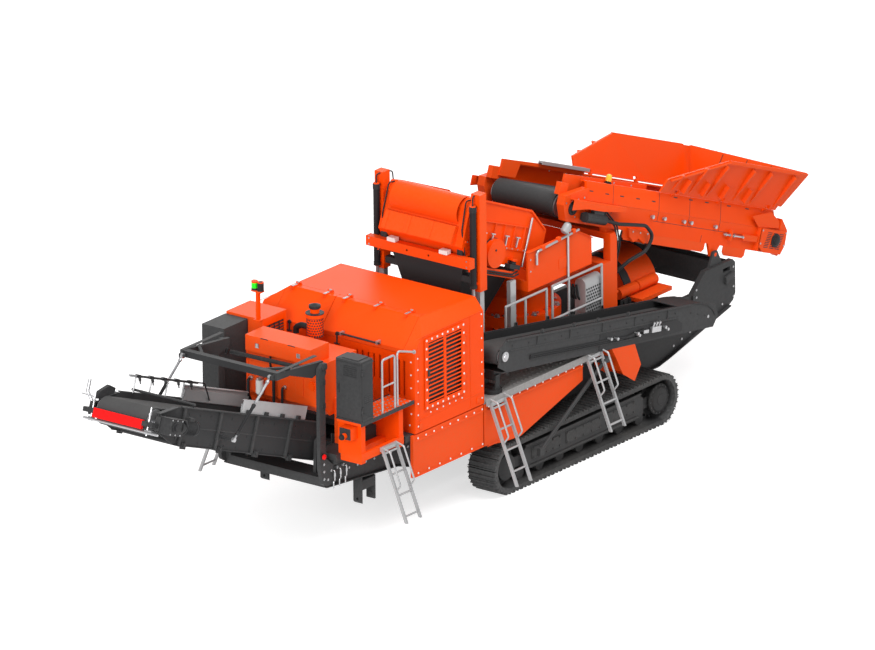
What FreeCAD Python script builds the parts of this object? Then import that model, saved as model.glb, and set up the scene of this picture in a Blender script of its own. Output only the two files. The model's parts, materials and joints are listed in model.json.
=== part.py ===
import FreeCAD, Part
import math
import os

# Tracked mobile crusher: a cone crusher on a crawler chassis with a rear feed hopper and feed conveyor,
# a pre-screen over the crusher, a power unit in front, a front discharge conveyor and a stowed side conveyor.
# Millimetres. +X points to the feed hopper end, +Z up, and -Y is the side with the side conveyor.
# Lengths along X are measured from the middle of the tracks and moved once, in save(), so that the origin
# lies on the ground under the middle of the whole machine.
os.makedirs("parts", exist_ok=True)
V = FreeCAD.Vector
UP = V(0, 0, 1)
ACROSS = V(0, 1, 0)
ALONG = V(1, 0, 0)

ORIGIN_SHIFT = 1690.0     # from the middle of the machine to the middle of the tracks
FIT = 0.05                # radial running clearance of a pin or shaft
SEAT = 0.3                # gap left where curved or moving faces rest on each other
MOVE_GAP = 8.0            # clearance beside a moving piece


# Small shape helpers
def block(x0, x1, y0, y1, z0, z1):
    return Part.makeBox(x1 - x0, y1 - y0, z1 - z0, V(x0, y0, z0))


def pair(shape):
    return [shape, shape.mirror(V(0, 0, 0), ACROSS)]


def prism(corners, push):
    closed = corners + corners[:1]
    return Part.Face(Part.makePolygon(closed)).extrude(push)


def side_prism(outline, y0, y1):
    return prism([V(x, y0, z) for x, z in outline], V(0, y1 - y0, 0))


def end_prism(outline, x0, x1):
    return prism([V(x0, y, z) for y, z in outline], V(x1 - x0, 0, 0))


def plan_prism(outline, z0, z1):
    return prism([V(x, y, z0) for x, y in outline], V(0, 0, z1 - z0))


def rod(start, end, radius):
    a = V(*start)
    b = V(*end)
    return Part.makeCylinder(radius, (b - a).Length, a, b - a)


def cross_rod(x, z, half, radius):
    return rod((x, -half, z), (x, half, z), radius)


def fused(shapes):
    whole = shapes[0]
    for shape in shapes[1:]:
        whole = whole.fuse(shape)
    return whole.removeSplitter()


def cut_away(shape, tools):
    for tool in tools:
        shape = shape.cut(tool)
    return shape


def tube_run(points, radius):
    runs = [rod(a, b, radius) for a, b in zip(points, points[1:])]
    balls = [Part.makeSphere(radius, V(*p)) for p in points[1:-1]]
    return fused(runs + balls)


def tilted(shapes, pivot, degrees):
    turned = [shape.copy() for shape in shapes]
    for shape in turned:
        shape.rotate(V(0, 0, 0), ACROSS, degrees)
        shape.translate(V(*pivot))
    return turned


def hinge_pin(centre, direction, half, pin_r):
    """A hinge pin's rod: it runs half its length to each side of the centre."""
    reach = V(*direction) * half
    return Part.makeCylinder(pin_r, 2 * half, V(*centre) - reach, V(*direction))


def save(name, shapes):
    whole = Part.makeCompound(shapes) if len(shapes) > 1 else shapes[0]
    whole = whole.copy()
    whole.translate(V(ORIGIN_SHIFT, 0, 0))
    whole.exportStep("parts/" + name + ".step")


# Tracks
TRACK_OUT = 1450.0
SHOE_WIDTH = 500.0
TRACK_IN = TRACK_OUT - SHOE_WIDTH
WHEEL_X = 1845.0
TRACK_TALL = 800.0
LUG = 26.0
SHOE_THICK = 22.0
LINK_THICK = 46.0
SHOE_R = TRACK_TALL / 2
WHEEL_R = SHOE_R - LUG - SHOE_THICK - LINK_THICK
TRACK_Z = SHOE_R
SHOES = 52
LOOP_LENGTH = 4 * WHEEL_X + 2 * math.pi * SHOE_R
SHOE_PITCH = LOOP_LENGTH / SHOES


def loop_point(distance, height):
    """Point of the loop at a distance along the lug tips and a height inward from them (negative)."""
    straight = 2 * WHEEL_X
    bend = math.pi * SHOE_R
    s = distance % LOOP_LENGTH
    radius = SHOE_R + height
    if s < straight:
        return (WHEEL_X - s, TRACK_Z - radius)
    s -= straight
    if s < bend:
        turn = s / SHOE_R
        return (-WHEEL_X - radius * math.sin(turn), TRACK_Z - radius * math.cos(turn))
    s -= bend
    if s < straight:
        return (-WHEEL_X + s, TRACK_Z + radius)
    turn = (s - straight) / SHOE_R
    return (WHEEL_X + radius * math.sin(turn), TRACK_Z + radius * math.cos(turn))


# each shoe's outline: share of the pitch, height above the lug tips
SHOE_FORM = [(0.02, -LUG - SHOE_THICK), (0.03, 0.0), (0.09, 0.0), (0.13, -LUG), (0.40, -LUG), (0.43, 0.0),
             (0.49, 0.0), (0.53, -LUG), (0.84, -LUG), (0.87, 0.0), (0.93, 0.0), (0.95, -LUG - SHOE_THICK)]


def track_loop(y0, y1):
    outer = []
    for shoe in range(SHOES):
        for share, height in SHOE_FORM:
            outer.append(loop_point((shoe + share) * SHOE_PITCH, height))
    inner_r = WHEEL_R + SEAT
    lane = Part.makeBox(2 * WHEEL_X, y1 - y0, 2 * inner_r, V(-WHEEL_X, y0, TRACK_Z - inner_r))
    ends = [rod((x, y0, TRACK_Z), (x, y1, TRACK_Z), inner_r) for x in (-WHEEL_X, WHEEL_X)]
    return side_prism(outer, y0, y1).cut(fused([lane] + ends))


save("track_near", [track_loop(-TRACK_OUT, -TRACK_IN)])
save("track_far", [track_loop(TRACK_IN, TRACK_OUT)])

# Track frames with sprocket, idler and rollers
FRAME_IN = TRACK_IN + 70
FRAME_OUT = TRACK_OUT - 70
FRAME_TOP = TRACK_Z + 210
FRAME_LOW = TRACK_Z - 170
SPROCKET_TEETH = 20
ROLLER_R = 95.0
ROLLERS = 7
ROLLER_SPAN = 2900.0
CARRIER_R = 62.0
AXLE_R = 70.0


def sprocket(y0, y1):
    points = []
    for tooth in range(SPROCKET_TEETH):
        for share, radius in ((0.15, WHEEL_R - 42), (0.4, WHEEL_R - 4), (0.6, WHEEL_R - 4), (0.85, WHEEL_R - 42)):
            turn = 2 * math.pi * (tooth + share) / SPROCKET_TEETH
            points.append((WHEEL_X + radius * math.sin(turn), TRACK_Z + radius * math.cos(turn)))
    return side_prism(points, y0, y1)


def track_frame():
    mid = -(TRACK_IN + TRACK_OUT) / 2
    beam = side_prism([(-1460, FRAME_LOW + 60), (-1320, FRAME_LOW), (1320, FRAME_LOW), (1460, FRAME_LOW + 60),
                       (1460, FRAME_TOP - 80), (1340, FRAME_TOP), (-1340, FRAME_TOP), (-1460, FRAME_TOP - 80)],
                      -FRAME_OUT, -FRAME_IN)
    arms = block(-WHEEL_X - 90, WHEEL_X + 90, mid - 130, mid - 90, TRACK_Z - 80, TRACK_Z + 80)
    arms_in = block(-WHEEL_X - 90, WHEEL_X + 90, mid + 90, mid + 130, TRACK_Z - 80, TRACK_Z + 80)
    idler = rod((-WHEEL_X, mid - 45, TRACK_Z), (-WHEEL_X, mid + 45, TRACK_Z), WHEEL_R - 2)
    axles = [rod((x, mid - 150, TRACK_Z), (x, mid + 150, TRACK_Z), AXLE_R) for x in (-WHEEL_X, WHEEL_X)]
    hub = rod((WHEEL_X, mid - 190, TRACK_Z), (WHEEL_X, mid + 150, TRACK_Z), 190.0)
    pieces = [beam, arms, arms_in, idler, sprocket(mid - 35, mid + 35), hub] + axles
    for k in range(ROLLERS):
        x = -ROLLER_SPAN / 2 + k * ROLLER_SPAN / (ROLLERS - 1)
        low = TRACK_Z - WHEEL_R + ROLLER_R
        pieces.append(rod((x, mid - 110, low), (x, mid + 110, low), ROLLER_R))
    for x in (-620, 620):
        high = TRACK_Z + WHEEL_R - CARRIER_R
        pieces.append(rod((x, mid - 70, high), (x, mid + 70, high), CARRIER_R))
        pieces.append(block(x - 40, x + 40, mid - 30, mid + 30, FRAME_TOP - 10, high))
    return fused(pieces)


save("track_frames", pair(track_frame()))

# Chassis: two long side plates, cross members and the beams to the track frames
RAIL_OUT = 900.0
RAIL_THICK = 80.0
RAIL_IN = RAIL_OUT - RAIL_THICK
RAIL_LOW = 640.0
RAIL_TOP = 1500.0
NOSE_X = -5600.0
TAIL_X = 4380.0
REAR_TOP = 1780.0
RAIL_OUTLINE = [(NOSE_X, 1090), (NOSE_X, RAIL_TOP), (3330, RAIL_TOP), (3640, REAR_TOP), (TAIL_X - 60, REAR_TOP),
                (TAIL_X, REAR_TOP - 60), (TAIL_X, 1240), (TAIL_X - 60, 1140), (TAIL_X - 170, 1080), (2710, 700),
                (2420, RAIL_LOW), (-3000, RAIL_LOW), (-3900, 930)]
PIVOT_X = 3950.0
PIVOT_Z = 1950.0
PIVOT_R = 30.0
EAR_THICK = 40.0
rail = side_prism(RAIL_OUTLINE, -RAIL_OUT, -RAIL_IN)
slot_hole = block(TAIL_X - 300, TAIL_X - 130, -RAIL_OUT - 1, -RAIL_IN + 1, REAR_TOP - 150, REAR_TOP - 90)
ear = side_prism([(PIVOT_X - 160, REAR_TOP), (PIVOT_X + 160, REAR_TOP), (PIVOT_X + 45, PIVOT_Z + 50),
                  (PIVOT_X - 45, PIVOT_Z + 50)], -RAIL_IN - EAR_THICK, -RAIL_IN)
pivot_bore = rod((PIVOT_X, -RAIL_OUT, PIVOT_Z), (PIVOT_X, -RAIL_IN + 1, PIVOT_Z), PIVOT_R + FIT)
save("chassis_rails", pair(fused([rail.cut(slot_hole), ear]).cut(pivot_bore)))

BEAM_X = 950.0
BEAM_HALF = 150.0
beams = [block(x - BEAM_HALF, x + BEAM_HALF, -FRAME_IN, FRAME_IN, TRACK_Z, RAIL_LOW) for x in (-BEAM_X, BEAM_X)]

# Front discharge conveyor: its hinge line fixes the places of the front cross member
LIFT_X = -5350.0
LIFT_Z = 1670.0
MAIN_SLOPE = 20.0
MAIN_LENGTH = 3884.0
MAIN_HALF = 560.0
LIFT_PIN_R = 35.0
EAR_IN = MAIN_HALF + 40
EAR_OUT = EAR_IN + 50
front_beam = block(NOSE_X, LIFT_X + 120, -RAIL_IN, RAIL_IN, 1090, 1230)
lift_ears = pair(side_prism([(LIFT_X - 120, 1230), (LIFT_X + 120, 1230), (LIFT_X + 90, LIFT_Z + 40),
                             (LIFT_X, LIFT_Z + 90), (LIFT_X - 90, LIFT_Z + 40)], -EAR_OUT, -EAR_IN))
lift_bore = cross_rod(LIFT_X, LIFT_Z, EAR_OUT + 1, LIFT_PIN_R + FIT)
front_member = fused([front_beam] + lift_ears).cut(lift_bore)
CROSS_BEAMS = [(-2960, -2800, 650, 800), (-1080, -900, 700, 880), (1180, 1340, 700, 880), (2900, 3040, 900, 1060)]
cross = [block(x0, x1, -RAIL_IN, RAIL_IN, z0, z1) for x0, x1, z0, z1 in CROSS_BEAMS]
rear_beam = block(TAIL_X - 230, TAIL_X - 150, -RAIL_IN, RAIL_IN, 1380, REAR_TOP - 40)
rear_arch = rod((TAIL_X - 240, 0, 700), (TAIL_X - 140, 0, 700), 830)
seat_beams = [block(x0, x0 + 140, -RAIL_IN, RAIL_IN, 1340, RAIL_TOP) for x0 in (-600, 560)]
save("cross_members", beams + [front_member] + cross + [rear_beam.cut(rear_arch)] + seat_beams)

# Front legs: forks with pin holes under the chassis nose
LEG_X0 = -4760.0
LEG_X1 = -4420.0
LEG_LOW = 590.0
LEG_PLATE = 30.0
LEG_PIN_R = 22.0
LEG_PIN_Z = 660.0
LEG_HALF = 75.0
LEG_Y = (RAIL_OUT + RAIL_IN) / 2
leg_top = 1185.0
leg = fused([
    side_prism([(LEG_X0, LEG_LOW + 30), (LEG_X0 + LEG_PLATE, LEG_LOW), (LEG_X0 + LEG_PLATE, 1000), (LEG_X0, 1010)],
               -LEG_Y - LEG_HALF, -LEG_Y + LEG_HALF),
    block(LEG_X1 - LEG_PLATE, LEG_X1, -LEG_Y - LEG_HALF, -LEG_Y + LEG_HALF, LEG_LOW, 960),
    block(LEG_X0 + LEG_PLATE, LEG_X1 - LEG_PLATE, -LEG_Y - LEG_HALF, -LEG_Y + LEG_HALF, 800, 930)])
leg = leg.cut(side_prism([(x, z) for x, z in RAIL_OUTLINE], -RAIL_OUT, -RAIL_IN))
leg = leg.cut(rod((LEG_X0 - 1, -LEG_Y, LEG_PIN_Z), (LEG_X1 + 1, -LEG_Y, LEG_PIN_Z), LEG_PIN_R))
save("front_legs", pair(leg))

# Power unit base, canopy, engine
BASE_TOP = 1600.0
CANOPY_X0 = -4120.0
CANOPY_X1 = -2470.0
CANOPY_Y = 1450.0
WING_IN = 700.0
WING_OUT = 1060.0
BASE_X0 = CANOPY_X0 - 180
WING_X0 = NOSE_X + 100
base = [block(BASE_X0, CANOPY_X1, -CANOPY_Y + 50, CANOPY_Y - 50, RAIL_TOP, BASE_TOP)]
base += pair(block(WING_X0, BASE_X0, -WING_OUT, -WING_IN, RAIL_TOP, BASE_TOP))
save("power_base", [fused(base)])

WALL = 40.0
CANOPY_EAVE = 3040.0
CANOPY_ROOF = 3270.0
ROOF_BACK = 3230.0
CHAMFER = 330.0


def canopy_solid(inset):
    x0 = CANOPY_X0 + inset
    x1 = CANOPY_X1 - inset
    y = CANOPY_Y - inset
    roof = CANOPY_ROOF - inset
    long_way = side_prism([(x0, BASE_TOP), (x1, BASE_TOP), (x1, ROOF_BACK - inset), (x0 + CHAMFER + 40, roof),
                           (x0, CANOPY_EAVE - 170 - inset)], -y, y)
    end_way = end_prism([(-y, BASE_TOP), (y, BASE_TOP), (y, CANOPY_EAVE - inset), (y - CHAMFER, CANOPY_ROOF),
                         (-y + CHAMFER * 0.55, CANOPY_ROOF), (-y, CANOPY_EAVE - inset)], x0, x1)
    return long_way.common(end_way)


GRILLE_X0 = -3880.0
GRILLE_X1 = -2960.0
GRILLE_Z0 = 1920.0
GRILLE_Z1 = 2990.0
HINGE_X = -3640.0
LID_SPLIT = 280.0
LID_NEAR = -1250.0
LID_FAR = 1180.0
LID_GAP = 6.0
shell = canopy_solid(0).cut(canopy_solid(WALL))
grille_cuts = [block(GRILLE_X0, GRILLE_X1, -CANOPY_Y - 100, -CANOPY_Y + 100, GRILLE_Z0, GRILLE_Z1)]
LID_FRONT_Z = 2800.0
lid_zone = block(CANOPY_X0 - 10, HINGE_X, LID_NEAR, LID_FAR, LID_FRONT_Z, CANOPY_ROOF + 40)
shell_cut = cut_away(shell, grille_cuts + [lid_zone])
FRONT_SLOTS = [(-1300, -930, 2150, 2700), (-860, -330, 2330, 2700), (-200, 300, 2330, 2560)]
SLOT_PITCH = 90.0
slots = []
for y0, y1, z0, z1 in FRONT_SLOTS:
    count = int((y1 - y0) / SLOT_PITCH)
    for k in range(count):
        y = y0 + (k + 0.5) * (y1 - y0) / count
        slots.append(block(CANOPY_X0 - 10, CANOPY_X0 + WALL + 10, y - 16, y + 16, z0, z1))
shell_cut = cut_away(shell_cut, slots)

LID_AXIS_Z = CANOPY_ROOF + 22
LID_PIN_R = 8.0
LID_EAR = [(HINGE_X - 2, CANOPY_ROOF - 6), (HINGE_X + 20, CANOPY_ROOF - 6), (HINGE_X + 20, LID_AXIS_Z + 12),
           (HINGE_X - 14, LID_AXIS_Z + 12), (HINGE_X - 14, CANOPY_ROOF + 6), (HINGE_X - 2, CANOPY_ROOF + 6)]
lid_ears = []
lid_pins = []
HINGE_YS = [(-1040, 0), (-470, 0), (100, 0), (460, 1), (1050, 1)]
for number, name, y0, y1 in ((0, "roof_lid_near", LID_NEAR, LID_SPLIT), (1, "roof_lid_far", LID_SPLIT, LID_FAR)):
    zone = block(CANOPY_X0 - 10, HINGE_X - LID_GAP, y0 + LID_GAP, y1 - LID_GAP, LID_FRONT_Z + LID_GAP,
                 CANOPY_ROOF + 40)
    lid = shell.common(zone)
    straps = []
    for y, owner in HINGE_YS:
        if owner == number:
            straps.append(block(HINGE_X - 170, HINGE_X - LID_GAP, y - 22, y + 22, CANOPY_ROOF - 30, CANOPY_ROOF + 14))
            straps.append(block(HINGE_X - 40, HINGE_X, y - 22, y + 22, LID_AXIS_Z - 14, LID_AXIS_Z + 6))
            straps.append(hinge_pin((HINGE_X, y, LID_AXIS_Z), ACROSS, 22, 16))
            lid_ears += [side_prism(LID_EAR, y + side, y + side + 20) for side in (-45, 25)]
            lid_pins.append(hinge_pin((HINGE_X, y, LID_AXIS_Z), ACROSS, 45, LID_PIN_R))
    lid_bore = hinge_pin((HINGE_X, 0, LID_AXIS_Z), ACROSS, CANOPY_Y, LID_PIN_R + FIT)
    save(name, [fused([lid] + straps).cut(lid_bore)])

DOOR_OVER = 14.0
DOOR_FACE = -CANOPY_Y - 8
DOOR_THICK = 16.0
door_frame = block(GRILLE_X0 - DOOR_OVER, GRILLE_X1 + DOOR_OVER, DOOR_FACE - DOOR_THICK, DOOR_FACE,
                   GRILLE_Z0 - DOOR_OVER, GRILLE_Z1 + DOOR_OVER)
DOOR_RIM = 60.0
MULLION = 50.0
mid_x = (GRILLE_X0 + GRILLE_X1) / 2
panes = [block(x0, x1, -CANOPY_Y - 40, -CANOPY_Y + WALL + 5, GRILLE_Z0 + DOOR_RIM, GRILLE_Z1 - DOOR_RIM)
         for x0, x1 in ((GRILLE_X0 + DOOR_RIM, mid_x - MULLION / 2), (mid_x + MULLION / 2, GRILLE_X1 - DOOR_RIM))]
LOUVRES = 15
louvres = []
for k in range(LOUVRES):
    z = GRILLE_Z0 + DOOR_RIM + (k + 0.5) * (GRILLE_Z1 - GRILLE_Z0 - 2 * DOOR_RIM) / LOUVRES
    louvres.append(side_prism([(GRILLE_X0 + DOOR_RIM - 10, z - 9), (GRILLE_X1 - DOOR_RIM + 10, z - 9),
                               (GRILLE_X1 - DOOR_RIM + 10, z + 9), (GRILLE_X0 + DOOR_RIM - 10, z + 9)],
                              DOOR_FACE - DOOR_THICK + 2, DOOR_FACE - 2))
DOOR_AXIS = (GRILLE_X1 + DOOR_OVER + 14, DOOR_FACE - DOOR_THICK / 2)
DOOR_PIN_R = 6.0
DOOR_EYE_R = 9.0
leaves = []
door_bores = []
door_brackets = []
for z in (GRILLE_Z0 + 200, GRILLE_Z1 - 280):
    leaves.append(block(DOOR_AXIS[0] - 46, DOOR_AXIS[0], DOOR_AXIS[1] - DOOR_EYE_R, DOOR_AXIS[1], z, z + 80))
    leaves.append(rod((*DOOR_AXIS, z), (*DOOR_AXIS, z + 80), DOOR_EYE_R))
    door_bores.append(rod((*DOOR_AXIS, z - 1), (*DOOR_AXIS, z + 81), DOOR_PIN_R + FIT))
    door_brackets.append(rod((*DOOR_AXIS, z - 30), (*DOOR_AXIS, z + 110), DOOR_PIN_R))
    for low in (z - 34, z + 84):
        door_brackets.append(block(DOOR_AXIS[0], DOOR_AXIS[0] + 46, DOOR_AXIS[1] - DOOR_EYE_R, -CANOPY_Y, low, low + 30))
        door_brackets.append(rod((*DOOR_AXIS, low), (*DOOR_AXIS, low + 30), DOOR_EYE_R))
grille = cut_away(fused([cut_away(door_frame, panes)] + louvres + leaves), door_bores)
save("grille_door", [grille])
far_cut = [pane.mirror(V(0, 0, 0), ACROSS) for pane in panes]
far_louvres = [louvre.mirror(V(0, 0, 0), ACROSS) for louvre in louvres]
for louvre in far_louvres:
    louvre.translate(V(0, -DOOR_THICK - 20, 0))
save("canopy_shell", [fused([cut_away(shell_cut, far_cut)] + far_louvres + lid_ears + lid_pins + door_brackets)])
engine = block(-3880, -2700, -820, 760, BASE_TOP, 2620)
save("engine_block", [engine])

# Front equipment: cabinets, tank, tool box, air cleaner, beacon, step frame, control box
CABINET_Z1 = 3090.0
cab_near = block(-5440, -5160, -1480, -1020, 2140, CABINET_Z1)
cab_far = block(-5440, -4880, 1040, TRACK_OUT, BASE_TOP, CABINET_Z1)
CAB_DOOR = 22.0
CAB_FRONT = -5440.0
CAB_AXIS = (CAB_FRONT + CAB_DOOR / 2, -1492)
CAB_EYE_R = 9.0
CAB_PIN_R = 5.0
cab_near_body = cab_near.cut(block(CAB_FRONT, CAB_FRONT + CAB_DOOR + 4, -1500, -1000, 2100, 3200))
cab_near_body = cab_near_body.cut(block(CAB_FRONT, -5180, -1460, -1040, 2160, CABINET_Z1 - 20))
cab_leaves = []
cab_bores = []
cab_brackets = []
for z in (2300, 2880):
    cab_leaves.append(block(CAB_AXIS[0] - 7, CAB_AXIS[0] + 7, CAB_AXIS[1], -1478, z, z + 60))
    cab_leaves.append(rod((*CAB_AXIS, z), (*CAB_AXIS, z + 60), CAB_EYE_R))
    cab_bores.append(rod((*CAB_AXIS, z - 1), (*CAB_AXIS, z + 61), CAB_PIN_R + FIT))
    cab_brackets.append(rod((*CAB_AXIS, z - 24), (*CAB_AXIS, z + 84), CAB_PIN_R))
    for low in (z - 26, z + 64):
        cab_brackets.append(block(CAB_AXIS[0], CAB_FRONT + 60, CAB_AXIS[1] - CAB_EYE_R + 1, -1480, low, low + 22))
        cab_brackets.append(rod((*CAB_AXIS, low), (*CAB_AXIS, low + 22), CAB_EYE_R - 1))
save("cabinets", [fused([cab_near_body] + cab_brackets), cab_far])
cab_door = block(CAB_FRONT, CAB_FRONT + CAB_DOOR, -1478, -1022, 2142, CABINET_Z1 - 2)
save("cabinet_door", [cut_away(fused([cab_door] + cab_leaves), cab_bores)])

TANK_Z0 = 2060.0
TANK_Z1 = 2880.0
tank_body = side_prism([(-5330, 2180), (-5210, TANK_Z0), (-4560, TANK_Z0), (-4560, TANK_Z1), (-5330, TANK_Z1)], -720, 720)
cradles = pair(block(-5100, -4880, -860, -WING_IN - 20, BASE_TOP, 2300))
save("hydraulic_tank", [fused([tank_body] + cradles)])
BOX_X0 = -5500.0
BOX_X1 = -5060.0
BOX_HALF = 600.0
BOX_TOP = 3120.0
BOX_WALL = 12.0
LID_DEEP = 90.0
box_body = block(BOX_X0, BOX_X1, -BOX_HALF, BOX_HALF, TANK_Z1, BOX_TOP - LID_DEEP)
box_body = box_body.cut(block(BOX_X0 + BOX_WALL, BOX_X1 - BOX_WALL, -BOX_HALF + BOX_WALL, BOX_HALF - BOX_WALL,
                              TANK_Z1 + BOX_WALL, BOX_TOP))
BOX_AXIS = (BOX_X1 + 12, BOX_TOP - LID_DEEP + 4)
BOX_PIN_R = 6.0
BOX_EYE_R = 10.0
box_ears = []
box_eyes = []
for y in (-400, 400):
    for side in (-39, 24):
        box_ears.append(block(BOX_X1, BOX_AXIS[0] + BOX_EYE_R, y + side, y + side + 15, BOX_AXIS[1] - 60, BOX_AXIS[1]))
        box_ears.append(rod((BOX_AXIS[0], y + side, BOX_AXIS[1]), (BOX_AXIS[0], y + side + 15, BOX_AXIS[1]), BOX_EYE_R))
    box_ears.append(hinge_pin((BOX_AXIS[0], y, BOX_AXIS[1]), ACROSS, 39, BOX_PIN_R))
    box_eyes.append(block(BOX_X1 - 2, BOX_AXIS[0], y - 20, y + 20, BOX_AXIS[1], BOX_AXIS[1] + BOX_EYE_R))
    box_eyes.append(hinge_pin((BOX_AXIS[0], y, BOX_AXIS[1]), ACROSS, 20, BOX_EYE_R))
save("tool_box", [fused([box_body] + box_ears)])
box_lid = block(BOX_X0, BOX_X1, -BOX_HALF, BOX_HALF, BOX_TOP - LID_DEEP + 1, BOX_TOP)
box_lid = box_lid.cut(block(BOX_X0 + BOX_WALL, BOX_X1 - BOX_WALL, -BOX_HALF + BOX_WALL, BOX_HALF - BOX_WALL,
                            BOX_TOP - LID_DEEP - 1, BOX_TOP - BOX_WALL))
box_bore = hinge_pin((BOX_AXIS[0], 0, BOX_AXIS[1]), ACROSS, BOX_HALF, BOX_PIN_R + FIT)
save("tool_box_lid", [fused([box_lid] + box_eyes).cut(box_bore)])

cooler = block(-4860, -4290, 780, TRACK_OUT, BASE_TOP, 3120)
cooler = cooler.cut(block(-4800, -4350, 700, 800, 2300, 3000))
save("cooler_housing", [cooler])
mast = fused([block(-4925, -4875, 800, 850, 3120, 3560), block(-4960, -4840, 770, 880, 3120, 3135),
              block(-4945, -4855, 740, 920, 3560, 3580)])
save("beacon_mast", [mast, rod((-4900, 775, 3580), (-4900, 775, 3720), 48),
                     rod((-4900, 885, 3580), (-4900, 885, 3720), 48)])
CLEANER = (-4475, 110)
CLEANER_FORM = [(20, 320, 120), (320, 380, 135), (380, 450, 70)]
cleaner = [rod((*CLEANER, TANK_Z1 + low), (*CLEANER, TANK_Z1 + high), radius) for low, high, radius in CLEANER_FORM]
cleaner.append(block(CLEANER[0] - 220, CLEANER[0] + 60, CLEANER[1] - 60, CLEANER[1] + 60, TANK_Z1, TANK_Z1 + 40))
save("air_cleaner", [fused(cleaner)])

STEP_TOP = 2140.0
step = [block(-5440, -4180, -1470, -1010, STEP_TOP - 40, STEP_TOP),
        block(-5400, -5300, -1440, -1020, BASE_TOP - 100, STEP_TOP - 40),
        block(-4500, -4400, -1440, -1020, BASE_TOP - 100, STEP_TOP - 40),
        block(-5400, -4400, -1200, -1080, BASE_TOP - 100, BASE_TOP + 20),
        block(-5400, -4400, -TRACK_OUT, -1400, BASE_TOP - 60, BASE_TOP + 60)]
step_frame = fused(step).cut(block(WING_X0, BASE_X0, -WING_OUT, -WING_IN, RAIL_TOP, BASE_TOP))
control_box = fused([block(-5560, -5400, -1380, -1160, 1900, 2080), rod((-5560, -1270, 1960), (-5640, -1270, 1960), 45)])
save("step_frame", [step_frame.fuse(control_box).removeSplitter()])

# Gantry: fixed posts, swinging arms and the lift links
POST_Y = 900.0
POST_HALF = 60.0
POST_X0 = -5760.0
POST_X1 = -5600.0
POST_TOP = 2960.0
ARM_PIVOT = (-5640.0, 2980.0)
ARM_PIN_R = 32.0
ARM_TIP = (-6620.0, 3100.0)
post = side_prism([(POST_X1 + 150, 1120), (POST_X1 + 150, 1420), (POST_X1 - 20, 1560), (POST_X1 - 20, POST_TOP - 80),
                   (POST_X1 + 30, POST_TOP + 60), (POST_X1 - 60, POST_TOP + 80), (POST_X0 + 10, POST_TOP + 20),
                   (POST_X0, POST_TOP - 60), (POST_X0, 1420), (POST_X0 + 60, 1180), (POST_X1, 1120)],
                  -RAIL_OUT - 60, -RAIL_OUT)
post = post.cut(rod((ARM_PIVOT[0], -2000, ARM_PIVOT[1]), (ARM_PIVOT[0], 0, ARM_PIVOT[1]), ARM_PIN_R + FIT))
save("gantry_posts", pair(post))
ARM_OUT = RAIL_OUT - MOVE_GAP
ARM_IN = ARM_OUT - 60
ARM_DEEP = 70.0
arm = side_prism([(ARM_PIVOT[0] + 70, ARM_PIVOT[1] - 60), (ARM_PIVOT[0] + 70, ARM_PIVOT[1] + 60),
                  (ARM_TIP[0] - 50, ARM_TIP[1] + 60), (ARM_TIP[0] - 50, ARM_TIP[1] - 50),
                  (ARM_TIP[0] + 260, ARM_TIP[1] - 60), (ARM_PIVOT[0] - 200, ARM_PIVOT[1] - 130)], -ARM_OUT, -ARM_IN)
arm_pin = rod((ARM_PIVOT[0], -RAIL_OUT - 60, ARM_PIVOT[1]), (ARM_PIVOT[0], -ARM_IN, ARM_PIVOT[1]), ARM_PIN_R)
crossbar = block(ARM_TIP[0] - 50, ARM_TIP[0] + 50, -ARM_IN, ARM_IN, ARM_TIP[1] - 40, ARM_TIP[1] + 60)
braces = pair(plan_prism([(ARM_TIP[0] + 50, -ARM_IN + 300), (ARM_TIP[0] + 50, -ARM_IN + 240),
                          (ARM_TIP[0] + 290, -ARM_IN), (ARM_TIP[0] + 350, -ARM_IN)], ARM_TIP[1] + 10, ARM_TIP[1] + 50))
LINK_PIN_R = 18.0
LINK_TOP = (ARM_TIP[0] - 100, ARM_TIP[1])
tip_lug = side_prism([(ARM_TIP[0] - 50, ARM_TIP[1] - 45), (LINK_TOP[0] - 35, ARM_TIP[1] - 30),
                      (LINK_TOP[0] - 35, ARM_TIP[1] + 30), (ARM_TIP[0] - 50, ARM_TIP[1] + 45)], -ARM_OUT + 40, -ARM_IN)
tip_pin = rod((LINK_TOP[0], -ARM_OUT + 40, LINK_TOP[1]), (LINK_TOP[0], -ARM_IN + 80, LINK_TOP[1]), LINK_PIN_R)
arms = []
for piece in (arm, arm_pin, tip_lug, tip_pin):
    arms += pair(piece)
save("gantry_arms", [fused(arms + [crossbar] + braces)])

LINK_LOW = (-7590.0, 2390.0)
LINK_Y0 = -ARM_IN + MOVE_GAP
link_dir = V(LINK_LOW[0] - LINK_TOP[0], 0, LINK_LOW[1] - LINK_TOP[1])
link_eye = rod((LINK_TOP[0], LINK_Y0, LINK_TOP[1]), (LINK_TOP[0], LINK_Y0 + 40, LINK_TOP[1]), 40)
link_bar = rod((LINK_TOP[0], LINK_Y0 + 20, LINK_TOP[1]), (LINK_LOW[0], LINK_Y0 + 20, LINK_LOW[1]), 15)
link_foot = rod((LINK_LOW[0], LINK_Y0, LINK_LOW[1]), (LINK_LOW[0], LINK_Y0 + 40, LINK_LOW[1]), 34)
bore_top = rod((LINK_TOP[0], LINK_Y0 - 1, LINK_TOP[1]), (LINK_TOP[0], LINK_Y0 + 41, LINK_TOP[1]), LINK_PIN_R + FIT)
link = fused([link_eye, link_bar, link_foot]).cut(bore_top)
LUG_R = 24.0
save("lift_links", pair(link))

# Front conveyor, drawn level about its hinge line and then tilted
BELT_THICK = 20.0
HEAD_R = 190.0
MAIN_TAIL_R = 150.0
MAIN_BELT_HALF = 450.0
MAIN_UP = 270.0
MAIN_DOWN = 290.0
SKIN = 14.0
SHAFT_R = 32.0
PIN_LENGTH = EAR_OUT - MAIN_HALF


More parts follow.
